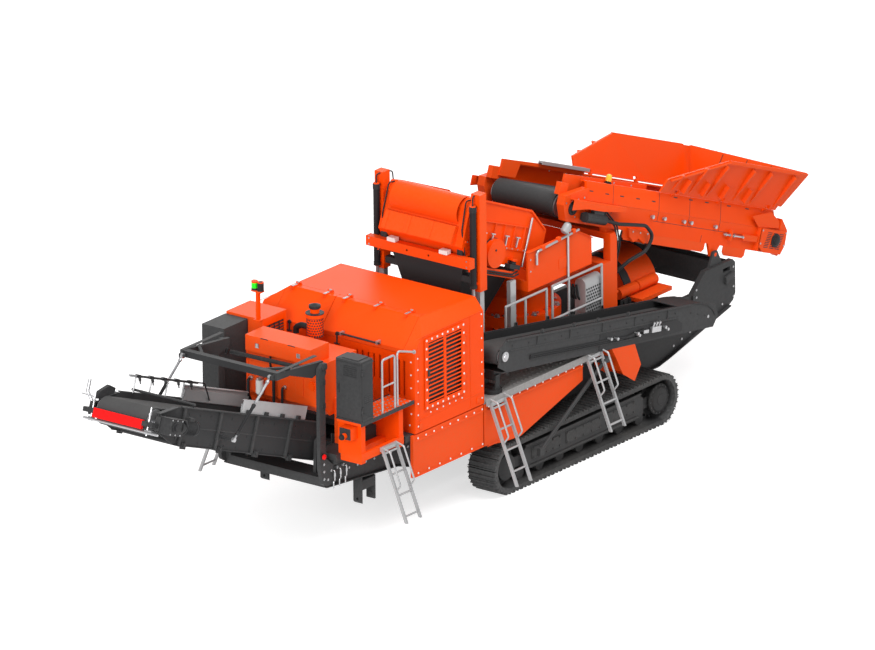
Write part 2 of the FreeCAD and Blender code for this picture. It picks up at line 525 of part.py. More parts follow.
def belt_loop(x_head, x_tail, r_head, r_tail, half):
    """Flat belt round two drums; it clears each drum by SEAT."""
    def lane(grow):
        a = r_head + grow
        b = r_tail + grow
        sides = side_prism([(x_head, -a), (x_tail, -b), (x_tail, b), (x_head, a)], -half, half)
        return fused([sides, rod((x_head, -half, 0), (x_head, half, 0), a), rod((x_tail, -half, 0), (x_tail, half, 0), b)])
    return lane(SEAT + BELT_THICK).cut(lane(SEAT))


def drum(x, radius, half, shaft_half, shaft_r):
    return fused([rod((x, -half, 0), (x, half, 0), radius), rod((x, -shaft_half, 0), (x, shaft_half, 0), shaft_r)])


plate = side_prism([(-MAIN_LENGTH - 60, -120), (-MAIN_LENGTH - 60, 150), (-MAIN_LENGTH + 330, MAIN_UP), (60, MAIN_UP),
                    (60, -MAIN_DOWN + 40), (20, -MAIN_DOWN), (-MAIN_LENGTH + 420, -MAIN_DOWN)],
                   -MAIN_HALF, -MAIN_HALF + SKIN)
flange = block(-MAIN_LENGTH + 420, 20, -MAIN_HALF - 26, -MAIN_HALF, -MAIN_DOWN, -MAIN_DOWN + 14)
bearing = block(-MAIN_LENGTH - 130, -MAIN_LENGTH + 110, -MAIN_HALF - 90, -MAIN_HALF, -105, 105)
lift_pin = rod((0, -MAIN_HALF - PIN_LENGTH, 0), (0, -MAIN_HALF, 0), LIFT_PIN_R)
lug_local = V(LINK_LOW[0] - LIFT_X, 0, LINK_LOW[1] - LIFT_Z)
turn_back = FreeCAD.Rotation(ACROSS, -MAIN_SLOPE)
lug_at = turn_back.multVec(lug_local)
lug_pin = rod((lug_at.x, LINK_Y0 + 45, lug_at.z), (lug_at.x, -MAIN_HALF, lug_at.z), LUG_R)
lug_pad = block(lug_at.x - 60, lug_at.x + 60, -MAIN_HALF - 30, -MAIN_HALF, lug_at.z - 50, lug_at.z + 50)
sides = []
for piece in (plate, flange, bearing, lift_pin, lug_pin, lug_pad):
    sides += pair(piece)
TIE_FIRST = -350.0
TIES = 5
tie_step = (MAIN_LENGTH - 584 + TIE_FIRST) / (TIES - 1)
ties = [block(TIE_FIRST - k * tie_step - 60, TIE_FIRST - k * tie_step + 60, -MAIN_HALF, MAIN_HALF, -60, -40)
        for k in range(TIES)]
RETURN_FIRST = -600.0
RETURNS = 4
return_step = (MAIN_LENGTH - 634 + RETURN_FIRST) / (RETURNS - 1)
returns = [rod((RETURN_FIRST - k * return_step, -MAIN_HALF, -MAIN_DOWN + 20),
               (RETURN_FIRST - k * return_step, MAIN_HALF, -MAIN_DOWN + 20), 38) for k in range(RETURNS)]
shaft_bore = rod((-MAIN_LENGTH, -800, 0), (-MAIN_LENGTH, 800, 0), SHAFT_R + FIT)
GEAR_Y1 = -MAIN_HALF - 90
gearbox = block(-MAIN_LENGTH - 110, -MAIN_LENGTH + 170, GEAR_Y1 - 190, GEAR_Y1, -130, 110)
motor = rod((-MAIN_LENGTH + 170, GEAR_Y1 - 100, 10), (-MAIN_LENGTH + 560, GEAR_Y1 - 100, 10), 105)
SKIRT_X0 = -MAIN_LENGTH / 2
skirts = pair(end_prism([(-MAIN_HALF + SKIN, MAIN_UP - 10), (-MAIN_HALF + SKIN + 16, MAIN_UP - 10),
                         (-MAIN_HALF + 40, MAIN_UP + 150), (-MAIN_HALF + 24, MAIN_UP + 150)], SKIRT_X0, -350))
SPRAY_X = -MAIN_LENGTH + 734
spray = [rod((SPRAY_X, -MAIN_HALF - 20, MAIN_UP + 60), (SPRAY_X, MAIN_HALF + 20, MAIN_UP + 60), 20)]
spray += pair(block(SPRAY_X - 15, SPRAY_X + 15, -MAIN_HALF, -MAIN_HALF + SKIN, MAIN_UP - 10, MAIN_UP + 60))
TAIL_SHAFT_R = 25.0
tail_bore = cross_rod(0, 0, MAIN_HALF - 1, TAIL_SHAFT_R + FIT)
main_frame = cut_away(fused(sides + ties + returns + [gearbox, motor] + spray), [shaft_bore, tail_bore])
save("main_frame", tilted([main_frame], (LIFT_X, 0, LIFT_Z), MAIN_SLOPE))
save("main_skirts", tilted(skirts, (LIFT_X, 0, LIFT_Z), MAIN_SLOPE))
main_belt = belt_loop(-MAIN_LENGTH, 0, HEAD_R, MAIN_TAIL_R, MAIN_BELT_HALF)
save("main_belt", tilted([main_belt], (LIFT_X, 0, LIFT_Z), MAIN_SLOPE))
save("main_head_drum", tilted([drum(-MAIN_LENGTH, HEAD_R, MAIN_BELT_HALF + 20, MAIN_HALF + 85, SHAFT_R)],
                              (LIFT_X, 0, LIFT_Z), MAIN_SLOPE))
save("main_tail_drum", tilted([drum(0, MAIN_TAIL_R, MAIN_BELT_HALF + 20, MAIN_HALF - 2, TAIL_SHAFT_R)],
                              (LIFT_X, 0, LIFT_Z), MAIN_SLOPE))
scraper = fused([block(-MAIN_LENGTH - 290, -MAIN_LENGTH - 240, -MAIN_BELT_HALF, MAIN_BELT_HALF, -120, 20)]
                + pair(block(-MAIN_LENGTH - 290, -MAIN_LENGTH - 130, -MAIN_HALF - 70, -MAIN_HALF - 20, -60, 0))
                + pair(block(-MAIN_LENGTH - 290, -MAIN_LENGTH - 240, -MAIN_HALF - 20, -MAIN_BELT_HALF, -60, 0)))
save("main_scraper", tilted([scraper], (LIFT_X, 0, LIFT_Z), MAIN_SLOPE))

# Fixed conveyor bed under the power unit and crusher
TRAY_HALF = 540.0
tray_line = [(-4960, 1540), (-3950, 1150), (1300, 1080)]
tray = side_prism([(x, z) for x, z in tray_line] + [(x, z - 170) for x, z in reversed(tray_line)], -TRAY_HALF, TRAY_HALF)
walls = pair(side_prism([(x, z + 130) for x, z in tray_line] + [(x, z - 170) for x, z in reversed(tray_line)],
                        -TRAY_HALF - 20, -TRAY_HALF))
hangers = []
for x, z in ((-3300, 1060), (-1400, 1000), (700, 960)):
    hangers += pair(block(x - 50, x + 50, -RAIL_IN, -TRAY_HALF - 20, z, z + 80))
save("tail_conveyor", [fused([tray] + walls + hangers)])

# Decks, aprons, handrails, ladders
DECK_TOP = 1620.0
DECK_THICK = 40.0
DECK_X1 = 240.0
deck = pair(block(CANOPY_X1 + 2, DECK_X1, -TRACK_OUT, -RAIL_IN, DECK_TOP - DECK_THICK, DECK_TOP))
feet = []
for x in (-2300, -1500, -700, 170):
    feet += pair(block(x, x + 60, -RAIL_OUT, -RAIL_IN, RAIL_TOP, DECK_TOP - DECK_THICK))
    feet += pair(block(x, x + 60, -TRACK_OUT + 60, -RAIL_OUT, RAIL_TOP - 80, DECK_TOP - DECK_THICK))
save("decks", [fused(deck[:1] + feet[0::2]), fused(deck[1:] + feet[1::2])])

APRON_THICK = 50.0
APRON_TOP = RAIL_TOP + 80
apron_front = side_prism([(-4180, 930), (-2500, 930), (-2500, APRON_TOP), (-4180, APRON_TOP)],
                         -TRACK_OUT, -TRACK_OUT + APRON_THICK)
apron_rear = side_prism([(-2470, 930), (-1950, 860), (-1600, 840), (-90, 1270), (-90, APRON_TOP), (-2470, APRON_TOP)],
                        -TRACK_OUT, -TRACK_OUT + APRON_THICK)
save("aprons", pair(apron_front) + pair(apron_rear))

RAIL_R = 19.0
GATE_Y = -985.0


def guard_rail(points_x, y, z0, height):
    x0 = points_x[0]
    x1 = points_x[-1]
    top = tube_run([(x0, y, z0), (x0, y, z0 + height), (x1, y, z0 + height), (x1, y, z0)], RAIL_R)
    middle = rod((x0, y, z0 + height * 0.5), (x1, y, z0 + height * 0.5), RAIL_R)
    posts = [rod((x, y, z0), (x, y, z0 + height), RAIL_R) for x in points_x[1:-1]]
    return fused([top, middle] + posts)


rails = []
rails += pair(guard_rail([-1330, -850, -340], GATE_Y, DECK_TOP, 1050))
rails += pair(guard_rail([-2380, -2050], -840, DECK_TOP, 1000))
rear_bracket = [block(970, 1030, GATE_Y - 25, -RAIL_OUT, 1440, 1550), block(970, 1030, GATE_Y - 25, GATE_Y + 23, 1440, DECK_TOP)]
rails += pair(fused([guard_rail([-200, 200, 1000], GATE_Y, DECK_TOP, 1050)] + rear_bracket))
save("handrails", rails)

LADDER_WIDE = 330.0
RUNG = 300.0
LEAN = 22.0
RUNG_R = 15.0


def ladder(x, top_z, drop):
    out = drop * math.tan(math.radians(LEAN))
    y0 = -TRACK_OUT - 24
    stiles = [end_prism([(y0 + 22, top_z), (y0 - 22, top_z), (y0 - out - 22, top_z - drop), (y0 - out + 22, top_z - drop)],
                        sx - 18, sx + 18) for sx in (x, x + LADDER_WIDE)]
    rungs = []
    count = int((drop - 90) / RUNG)
    for k in range(count + 1):
        z = top_z - 90 - k * RUNG
        y = y0 - (top_z - z) * math.tan(math.radians(LEAN))
        rungs.append(rod((x, y, z), (x + LADDER_WIDE, y, z), RUNG_R))
    hook = block(x - 18, x + LADDER_WIDE + 18, y0 - 22, -TRACK_OUT, top_z - 60, top_z)
    return fused(stiles + rungs + [hook])


LADDERS = [(-4950, APRON_TOP + 60, 1080), (-2360, APRON_TOP, 1200), (-20, DECK_TOP, 1080)]
ladders = []
for x, z, drop in LADDERS:
    ladders += pair(ladder(x, z, drop))
save("ladders", ladders)

# Cone crusher, its hopper and drive
CRUSHER_X = 50.0
BODY_R = 690.0
crusher = Part.makeCylinder(BODY_R, 240, V(CRUSHER_X, 0, RAIL_TOP), UP)
crusher = crusher.fuse(Part.makeCone(BODY_R, 560, 330, V(CRUSHER_X, 0, RAIL_TOP + 240), UP))
crusher = crusher.fuse(Part.makeCylinder(760, 160, V(CRUSHER_X, 0, 2000), UP))
crusher = crusher.fuse(Part.makeCylinder(640, 300, V(CRUSHER_X, 0, 2160), UP))
crusher = crusher.cut(Part.makeCone(300, 540, 340, V(CRUSHER_X, 0, 2130), UP))
crusher = crusher.fuse(Part.makeCone(290, 130, 240, V(CRUSHER_X, 0, 2120), UP))
RELIEFS = 8
for k in range(RELIEFS):
    turn = 2 * math.pi * (k + 0.5) / RELIEFS
    x = CRUSHER_X + 720 * math.cos(turn)
    y = 720 * math.sin(turn)
    crusher = crusher.fuse(Part.makeCylinder(46, 360, V(x, y, 1640), UP))
crusher = crusher.removeSplitter()
save("crusher_body", [crusher])

HOPPER_Z0 = 2460.0
HOPPER_Z1 = 3340.0
INLET_LIP = 2880.0
REAR_LIP = 3140.0
HOPPER_X0 = -720.0
HOPPER_X1 = 820.0
HOPPER_HALF = 940.0
HOPPER_WALL = 30.0


def hopper_solid(inset, z_extra):
    top = [(HOPPER_X0 + inset, -HOPPER_HALF + inset), (HOPPER_X1 - inset, -HOPPER_HALF + inset),
           (HOPPER_X1 - inset, HOPPER_HALF - inset), (HOPPER_X0 + inset, HOPPER_HALF - inset)]
    low = [(CRUSHER_X - 600 + inset, -600 + inset), (CRUSHER_X + 600 - inset, -600 + inset),
           (CRUSHER_X + 600 - inset, 600 - inset), (CRUSHER_X - 600 + inset, 600 - inset)]
    rings = []
    for outline, z in ((low, HOPPER_Z0 - z_extra), (top, HOPPER_Z0 + 260), (top, HOPPER_Z1 + z_extra)):
        corners = [V(x, y, z) for x, y in outline]
        rings.append(Part.makePolygon(corners + corners[:1]))
    lower = Part.makeLoft(rings[:2], True, True)
    upper = Part.makeLoft(rings[1:], True, True)
    return lower.fuse(upper)


crusher_hopper = hopper_solid(0, 0).cut(hopper_solid(HOPPER_WALL, 1))
inlet = block(HOPPER_X0 - 10, HOPPER_X0 + HOPPER_WALL + 1, -HOPPER_HALF + HOPPER_WALL, HOPPER_HALF - HOPPER_WALL,
              INLET_LIP, HOPPER_Z1 + 10)
lowered = side_prism([(470, HOPPER_Z1), (HOPPER_X1 + 10, REAR_LIP), (HOPPER_X1 + 10, HOPPER_Z1 + 10), (470, HOPPER_Z1 + 10)],
                     -HOPPER_HALF - 10, HOPPER_HALF + 10)
crusher_hopper = cut_away(crusher_hopper, [inlet, lowered])
save("crusher_hopper", [crusher_hopper])

PULLEY_X0 = 2250.0
PULLEY_LONG = 620.0
PULLEY_R = 470.0
PULLEY_Z = 1720.0
PULLEY_SHAFT = 60.0
GROOVES = 8
groove_profile = [(PULLEY_X0, 0)]
pitch = PULLEY_LONG / GROOVES
for k in range(GROOVES):
    x = PULLEY_X0 + k * pitch
    groove_profile += [(x, PULLEY_R), (x + pitch * 0.35, PULLEY_R), (x + pitch * 0.5, PULLEY_R - 26),
                       (x + pitch * 0.7, PULLEY_R - 26), (x + pitch * 0.85, PULLEY_R)]
groove_profile += [(PULLEY_X0 + PULLEY_LONG, PULLEY_R), (PULLEY_X0 + PULLEY_LONG, 0)]
groove_face = Part.Face(Part.makePolygon([V(x, 0, PULLEY_Z + r) for x, r in groove_profile + groove_profile[:1]]))
pulley = groove_face.revolve(V(PULLEY_X0, 0, PULLEY_Z), ALONG, 360)
pulley = pulley.fuse(rod((PULLEY_X0 - 250, 0, PULLEY_Z), (PULLEY_X0 + PULLEY_LONG + 120, 0, PULLEY_Z), PULLEY_SHAFT))
save("drive_pulley", [pulley.removeSplitter()])
GUARD_R = PULLEY_R + 60
hood = rod((PULLEY_X0 - 60, 0, PULLEY_Z), (PULLEY_X0 + PULLEY_LONG + 60, 0, PULLEY_Z), GUARD_R + 12)
hood = hood.cut(rod((PULLEY_X0 - 40, 0, PULLEY_Z), (PULLEY_X0 + PULLEY_LONG + 40, 0, PULLEY_Z), GUARD_R))
hood = hood.cut(block(PULLEY_X0 - 100, PULLEY_X0 + PULLEY_LONG + 100, -700, 700, PULLEY_Z - 700, PULLEY_Z - 40))
stand = block(PULLEY_X0 - 240, PULLEY_X0 - 60, -220, 220, 1060, PULLEY_Z + 160)
stand_beam = block(PULLEY_X0 - 240, PULLEY_X0 - 60, -RAIL_IN, RAIL_IN, 1060, 1200)
rear_plate = block(PULLEY_X0 + PULLEY_LONG + 60, PULLEY_X0 + PULLEY_LONG + 110, -400, 400, 1060, PULLEY_Z + 160)
hood_feet = pair(block(PULLEY_X0 - 60, PULLEY_X0 + PULLEY_LONG + 60, -RAIL_IN, -GUARD_R + 6, PULLEY_Z - 40, PULLEY_Z + 20))
guard = fused([hood, stand, stand_beam, rear_plate] + hood_feet)
guard = guard.cut(rod((PULLEY_X0 - 300, 0, PULLEY_Z), (PULLEY_X0 + PULLEY_LONG + 300, 0, PULLEY_Z), PULLEY_SHAFT + FIT))
guard = guard.cut(rod((PULLEY_X0 - 40, 0, PULLEY_Z), (PULLEY_X0 + PULLEY_LONG + 40, 0, PULLEY_Z), PULLEY_R + 20))
save("pulley_guard", [guard])

# Stand that the feed conveyor rests on, behind the crusher
STAND_X = 1420.0
STAND_TOP = 3040.0
legs = pair(block(STAND_X - 80, STAND_X + 80, -RAIL_OUT + 10, -RAIL_IN + 60, RAIL_TOP, STAND_TOP - 120))
head = block(STAND_X - 80, STAND_X + 80, -RAIL_OUT + 10, RAIL_OUT - 10, STAND_TOP - 120, STAND_TOP - 20)
panel = block(STAND_X - 260, STAND_X - 80, -RAIL_OUT + 10, -RAIL_IN + 260, RAIL_TOP, 2600)
FEED_TAIL = (5400.0, 0, 1760.0)
FEED_SLOPE = 21.1
FEED_LOW = -207.0


def feed_under(x):
    """Height of the feed conveyor's underside above a place."""
    turn = math.radians(FEED_SLOPE)
    along = (x - FEED_TAIL[0] - FEED_LOW * math.sin(turn)) / math.cos(turn)
    return FEED_TAIL[2] - along * math.sin(turn) + FEED_LOW * math.cos(turn)


pads = pair(side_prism([(STAND_X - 60, STAND_TOP - 20), (STAND_X + 60, STAND_TOP - 20),
                        (STAND_X + 60, feed_under(STAND_X + 60) - SEAT), (STAND_X - 60, feed_under(STAND_X - 60) - SEAT)],
                       -790, -680))
save("conveyor_stand", [fused(legs + [head, panel] + pads)])
save("crusher_guard", [fused([block(640, 1040, -960, -760, RAIL_TOP + 60, 2420),
                              rod((640, -860, 2420), (1040, -860, 2420), 100),
                              block(640, 1040, -RAIL_OUT, -RAIL_IN, RAIL_TOP, RAIL_TOP + 60)])])

# Pre-screen on its telescopic legs
LEG_AT = (-1830.0, 890.0)
SCREEN_TOP = 4560.0
SLEEVE_LOW = SCREEN_TOP - 1500
INNER = 50.0
SLEEVE = 80.0
inner_leg = block(LEG_AT[0] - INNER, LEG_AT[0] + INNER, -LEG_AT[1] - INNER, -LEG_AT[1] + INNER, DECK_TOP,
                  SCREEN_TOP - 310)
CYL_X = LEG_AT[0] - SLEEVE - 62
CYL_ROD = 24.0
CYL_R = 46.0
CYL_LOW = SLEEVE_LOW - 600
cyl_foot = block(CYL_X - 50, LEG_AT[0] - INNER, -LEG_AT[1] - 40, -LEG_AT[1] + 40, CYL_LOW - 60, CYL_LOW)
cyl_rod = rod((CYL_X, -LEG_AT[1], CYL_LOW), (CYL_X, -LEG_AT[1], SLEEVE_LOW + 440), CYL_ROD)
column = block(-1090, -960, -RAIL_OUT + 5, -RAIL_IN - 5, DECK_TOP, SCREEN_TOP - 1590)
save("screen_legs", pair(fused([inner_leg, cyl_foot, cyl_rod])) + pair(column))

sleeve = block(LEG_AT[0] - SLEEVE, LEG_AT[0] + SLEEVE, -LEG_AT[1] - SLEEVE, -LEG_AT[1] + SLEEVE, SLEEVE_LOW, SCREEN_TOP)
RUNNER = 140.0


def leg_space(gap, z0, z1):
    half = INNER + gap
    return block(LEG_AT[0] - half, LEG_AT[0] + half, -LEG_AT[1] - half, -LEG_AT[1] + half, z0, z1)


leg_room = fused([leg_space(SEAT, SLEEVE_LOW - 1, SCREEN_TOP - 20),
                  leg_space(MOVE_GAP, SLEEVE_LOW + RUNNER, SCREEN_TOP - 20)])
sleeve = sleeve.cut(leg_room)
barrel = rod((CYL_X, -LEG_AT[1], SLEEVE_LOW + 60), (CYL_X, -LEG_AT[1], SCREEN_TOP - 160), CYL_R)
GLAND = 60.0
rod_room = fused([rod((CYL_X, -LEG_AT[1], SLEEVE_LOW), (CYL_X, -LEG_AT[1], SCREEN_TOP - 200), CYL_ROD + FIT),
                  rod((CYL_X, -LEG_AT[1], SLEEVE_LOW + 60 + GLAND), (CYL_X, -LEG_AT[1], SCREEN_TOP - 200), CYL_ROD + MOVE_GAP)])
barrel = barrel.cut(rod_room)
clamps = [block(CYL_X, LEG_AT[0] - SLEEVE, -LEG_AT[1] - 30, -LEG_AT[1] + 30, z, z + 50) for z in (SLEEVE_LOW + 100, SCREEN_TOP - 260)]
clamps = [clamp.cut(rod_room) for clamp in clamps]
BAR_X = LEG_AT[0] - SLEEVE
BAR_Z0 = SLEEVE_LOW + 410
BAR_Z1 = BAR_Z0 + 150
light_bar = block(BAR_X - 240, BAR_X - 120, -960, 960, BAR_Z0, BAR_Z1)
bar_ends = pair(block(BAR_X - 125, LEG_AT[0] + 40, -LEG_AT[1] + SLEEVE, -LEG_AT[1] + SLEEVE + 40, BAR_Z0, BAR_Z1))
lamps = [block(BAR_X - 260, BAR_X - 160, y - 70, y + 70, BAR_Z1, BAR_Z1 + 60) for y in (-480, 480)]
SCREEN_SLOPE = 21.0
SCREEN_AT = (-1150.0, 0, SCREEN_TOP - 1000)
long_beam = pair(block(-740, 390, -LEG_AT[1] + 34, -LEG_AT[1] + 90, -480, -375))
frame_pieces = pair(sleeve) + pair(barrel) + [light_bar] + bar_ends + lamps
for clamp in clamps:
    frame_pieces += pair(clamp)
beam_world = tilted(long_beam, SCREEN_AT, SCREEN_SLOPE)
leg_lane = leg_space(MOVE_GAP, SLEEVE_LOW - 400, SLEEVE_LOW)
screen_frame = cut_away(fused(frame_pieces + beam_world), pair(leg_room) + pair(leg_lane))
save("screen_frame", [screen_frame])

BOX_OUT = 770.0
BOX_SKIN = 16.0
BOX_FRONT = -950.0
BOX_NOSE = 230.0
box_side = side_prism([(BOX_FRONT + BOX_NOSE, -300), (BOX_FRONT, -150), (BOX_FRONT, 430), (BOX_FRONT + 90, 590),
                       (BOX_FRONT + 330, 600), (600, 560), (1060, 300), (1060, -180), (860, -300)],
                      -BOX_OUT, -BOX_OUT + BOX_SKIN)
deck_plate = block(BOX_FRONT + 20, 1060, -BOX_OUT + BOX_SKIN, BOX_OUT - BOX_SKIN, -60, -40)
low_deck = block(-700, 1000, -BOX_OUT + BOX_SKIN, BOX_OUT - BOX_SKIN, -250, -235)
front_wall = side_prism([(BOX_FRONT + BOX_NOSE, -300), (BOX_FRONT, -150), (BOX_FRONT, 430), (BOX_FRONT + 90, 590),
                         (BOX_FRONT + 330, 600), (BOX_FRONT + 330, 584), (BOX_FRONT + 98, 574), (BOX_FRONT + 16, 424),
                         (BOX_FRONT + 16, -141), (BOX_FRONT + BOX_NOSE + 9, -286)],
                        -BOX_OUT + BOX_SKIN, BOX_OUT - BOX_SKIN)
tubes = [rod((x, -BOX_OUT, -150), (x, BOX_OUT, -150), 60) for x in (350, 820)]
EXCITER = (-200.0, -150.0)
exciter = pair(rod((EXCITER[0], -BOX_OUT - 110, EXCITER[1]), (EXCITER[0], -BOX_OUT, EXCITER[1]), 215))
shaft_tube = cross_rod(EXCITER[0], EXCITER[1], BOX_OUT, 80)
springs = []
for x in (-460, 320):
    springs += pair(block(x - 60, x + 60, -LEG_AT[1] + 34, -BOX_OUT, -215, -190))
    springs += pair(rod((x, -LEG_AT[1] + 62, -375), (x, -LEG_AT[1] + 62, -215), 28))
screen_box = fused(springs + pair(box_side) + [deck_plate, low_deck, front_wall, shaft_tube] + tubes + exciter)
front_panel = block(BOX_FRONT - 60, BOX_FRONT, -640, 640, -130, 142)
RIB_STEP = 80.0
ribs = [end_prism([(-620, z - 14), (620, z - 14), (620, z + 14), (-620, z + 14)], BOX_FRONT - 78, BOX_FRONT - 60)
        for z in (6 - RIB_STEP, 6, 6 + RIB_STEP)]
save("screen_box", tilted([fused([screen_box, front_panel] + ribs)], SCREEN_AT, SCREEN_SLOPE))

chute_rings = []
CHUTE_LOW = SCREEN_TOP - 2220
for x0, x1, half, z0, z1 in ((-1930, -760, 660, CHUTE_LOW + 1100, CHUTE_LOW + 700),
                             (-1720, -1120, 400, CHUTE_LOW, CHUTE_LOW)):
    corners = [V(x0, -half, z0), V(x1, -half, z1), V(x1, half, z1), V(x0, half, z0)]
    chute_rings.append(Part.makePolygon(corners + corners[:1]))
chute = Part.makeLoft(chute_rings, True, True)
inner_rings = []
for x0, x1, half, z0, z1 in ((-1900, -790, 630, CHUTE_LOW + 1110, CHUTE_LOW + 730),
                             (-1690, -1150, 370, CHUTE_LOW - 10, CHUTE_LOW - 10)):
    corners = [V(x0, -half, z0), V(x1, -half, z1), V(x1, half, z1), V(x0, half, z0)]
    inner_rings.append(Part.makePolygon(corners + corners[:1]))
chute_arms = pair(block(LEG_AT[0] - 50, LEG_AT[0] + 50, -LEG_AT[1] + SLEEVE, -590,
                        SLEEVE_LOW + 90, SLEEVE_LOW + 190))
chute = fused([chute] + chute_arms).cut(Part.makeLoft(inner_rings, True, True))
save("fines_chute", [chute])

# Feed conveyor, drawn level about its tail drum and then tilted
FEED_LENGTH = 5200.0
FEED_R = 170.0
FEED_HALF = 800.0
FEED_BELT_HALF = 560.0
FEED_FOLD = 150.0
FEED_TOP = 430.0
FEED_SKIN = 36.0
WALL_FRONT = -3090.0
section = [(-FEED_HALF, FEED_LOW), (-FEED_HALF, FEED_FOLD), (-FEED_HALF + 60, FEED_TOP), (-FEED_HALF + 170, FEED_TOP),
           (-FEED_HALF + 170, FEED_TOP - 20), (-FEED_HALF + 60 + FEED_SKIN, FEED_TOP - 20),
           (-FEED_HALF + FEED_SKIN, FEED_FOLD), (-FEED_HALF + FEED_SKIN, FEED_LOW + 20), (-FEED_HALF + 130, FEED_LOW + 20),
           (-FEED_HALF + 130, FEED_LOW)]
feed_side = end_prism(section, -FEED_LENGTH + 300, 100)
end_trim = side_prism([(-10, FEED_TOP + 1), (110, FEED_TOP + 1), (110, 150), (30, FEED_TOP - 120)], -1000, 1000)
feed_side = feed_side.cut(end_trim)
head_plate = side_prism([(-FEED_LENGTH - 240, 20), (-FEED_LENGTH - 240, 160), (-FEED_LENGTH + 310, 330),
                         (-FEED_LENGTH + 310, FEED_LOW), (-FEED_LENGTH - 100, FEED_LOW)], -FEED_HALF, -FEED_HALF + 130)
tail_plate = side_prism([(90, FEED_LOW), (90, 330), (200, 240), (280, 170), (250, -60), (162, FEED_LOW - 20)],
                        -FEED_HALF - 60, -FEED_HALF + 40)
feed_ties = [block(x - 60, x + 60, -FEED_HALF + 20, FEED_HALF - 20, -80, -30)
             for x in [-500 - k * (FEED_LENGTH - 1000) / 6 for k in range(7)]]
impact = block(-3000, -150, -FEED_HALF + 20, FEED_HALF - 20, 100, 130)
HEAD_SKIRT = pair(side_prism([(-FEED_LENGTH - 70, FEED_FOLD + 70), (-FEED_LENGTH - 70, 470), (WALL_FRONT - 60, 500),
                              (WALL_FRONT - 60, FEED_TOP), (-FEED_LENGTH + 400, FEED_TOP),
                              (-FEED_LENGTH + 340, FEED_FOLD + 70)], -FEED_BELT_HALF - 30, -FEED_BELT_HALF))
skirt_feet = pair(block(-FEED_LENGTH + 440, WALL_FRONT - 70, -FEED_HALF + 80, -FEED_BELT_HALF - 30, FEED_TOP - 20, FEED_TOP))
turn_feed = FreeCAD.Rotation(ACROSS, -FEED_SLOPE)
pivot_local = turn_feed.multVec(V(PIVOT_X - FEED_TAIL[0], 0, PIVOT_Z - FEED_TAIL[2]))
pivot_lug = side_prism([(pivot_local.x - 170, FEED_LOW + 10), (pivot_local.x + 150, FEED_LOW + 10),
                        (pivot_local.x + 45, pivot_local.z - 45), (pivot_local.x - 45, pivot_local.z - 45)],
                       -FEED_HALF, -FEED_HALF + 40)
pivot_pin = rod((pivot_local.x, -RAIL_IN - EAR_THICK, pivot_local.z), (pivot_local.x, -FEED_HALF, pivot_local.z), PIVOT_R)
HINGE_Y = FEED_HALF - 20
WALL_LOW = FEED_TOP + 20
REAR_AT = -57.0
WALL_THICK = 30.0
FOLD_PIN_R = 10.0
NOTCH = 50.0
REAR_AXIS_X = REAR_AT + WALL_THICK
SIDE_HINGES = (-2700, -1500, -300)
REAR_HINGES = (-560, 0, 560)
side_lugs = []
for x in SIDE_HINGES:
    side_lugs += pair(end_prism([(-HINGE_Y - 20, WALL_LOW + 20), (-HINGE_Y + 20, WALL_LOW + 20), (-HINGE_Y + 45, FEED_TOP),
                                 (-HINGE_Y + 45, FEED_TOP - 30), (-HINGE_Y + 32, FEED_TOP - 40),
                                 (-HINGE_Y - 20, WALL_LOW - 18)], x - 15, x + 15))
rear_cross = block(REAR_AXIS_X - 70, REAR_AXIS_X + 14, -FEED_HALF + 70, FEED_HALF - 70, FEED_TOP - 60, FEED_TOP)
rear_lugs = [side_prism([(REAR_AXIS_X - 20, WALL_LOW + 20), (REAR_AXIS_X + 20, WALL_LOW + 20), (REAR_AXIS_X + 20, WALL_LOW - 8),
                         (REAR_AXIS_X + 12, FEED_TOP - 4), (REAR_AXIS_X - 20, FEED_TOP - 4)], y - 15, y + 15)
             for y in REAR_HINGES]
bars = []
for piece in (feed_side, head_plate, tail_plate, pivot_lug, pivot_pin):
    bars += pair(piece)
feed_frame = fused(bars + feed_ties + [impact, rear_cross] + HEAD_SKIRT + skirt_feet + side_lugs + rear_lugs)
feed_bores = [rod((x, -900, 0), (x, 900, 0), SHAFT_R + FIT) for x in (-FEED_LENGTH, 0)]
feed_bores += [hinge_pin((x, y, WALL_LOW), ALONG, 20, FOLD_PIN_R + FIT) for x in SIDE_HINGES for y in (-HINGE_Y, HINGE_Y)]
feed_bores += [hinge_pin((REAR_AXIS_X, y, WALL_LOW), ACROSS, 20, FOLD_PIN_R + FIT) for y in REAR_HINGES]
belt_path = [rod((x, -FEED_BELT_HALF - 25, 0), (x, FEED_BELT_HALF + 25, 0), FEED_R + 40) for x in (-FEED_LENGTH, 0)]
feed_frame = cut_away(feed_frame, feed_bores + belt_path)
save("feed_frame", tilted([feed_frame], FEED_TAIL, FEED_SLOPE))
feed_belt = belt_loop(-FEED_LENGTH, 0, FEED_R, FEED_R, FEED_BELT_HALF)
save("feed_belt", tilted([feed_belt], FEED_TAIL, FEED_SLOPE))
MOTOR_X = -FEED_LENGTH + 210
MOTOR_Y = -FEED_HALF - 95
feed_motor = fused([rod((MOTOR_X, MOTOR_Y, -95), (MOTOR_X + 510, MOTOR_Y, -95), 78),
                    rod((MOTOR_X + 510, MOTOR_Y, -95), (MOTOR_X + 560, MOTOR_Y, -95), 50),
                    block(MOTOR_X + 30, MOTOR_X + 90, MOTOR_Y, -FEED_HALF, -150, -40)])
save("feed_motor", tilted([feed_motor], FEED_TAIL, FEED_SLOPE))
for name, x in (("feed_head_drum", -FEED_LENGTH), ("feed_tail_drum", 0)):
    save(name, tilted([drum(x, FEED_R, FEED_BELT_HALF + 20, FEED_HALF - 10, SHAFT_R)], FEED_TAIL, FEED_SLOPE))

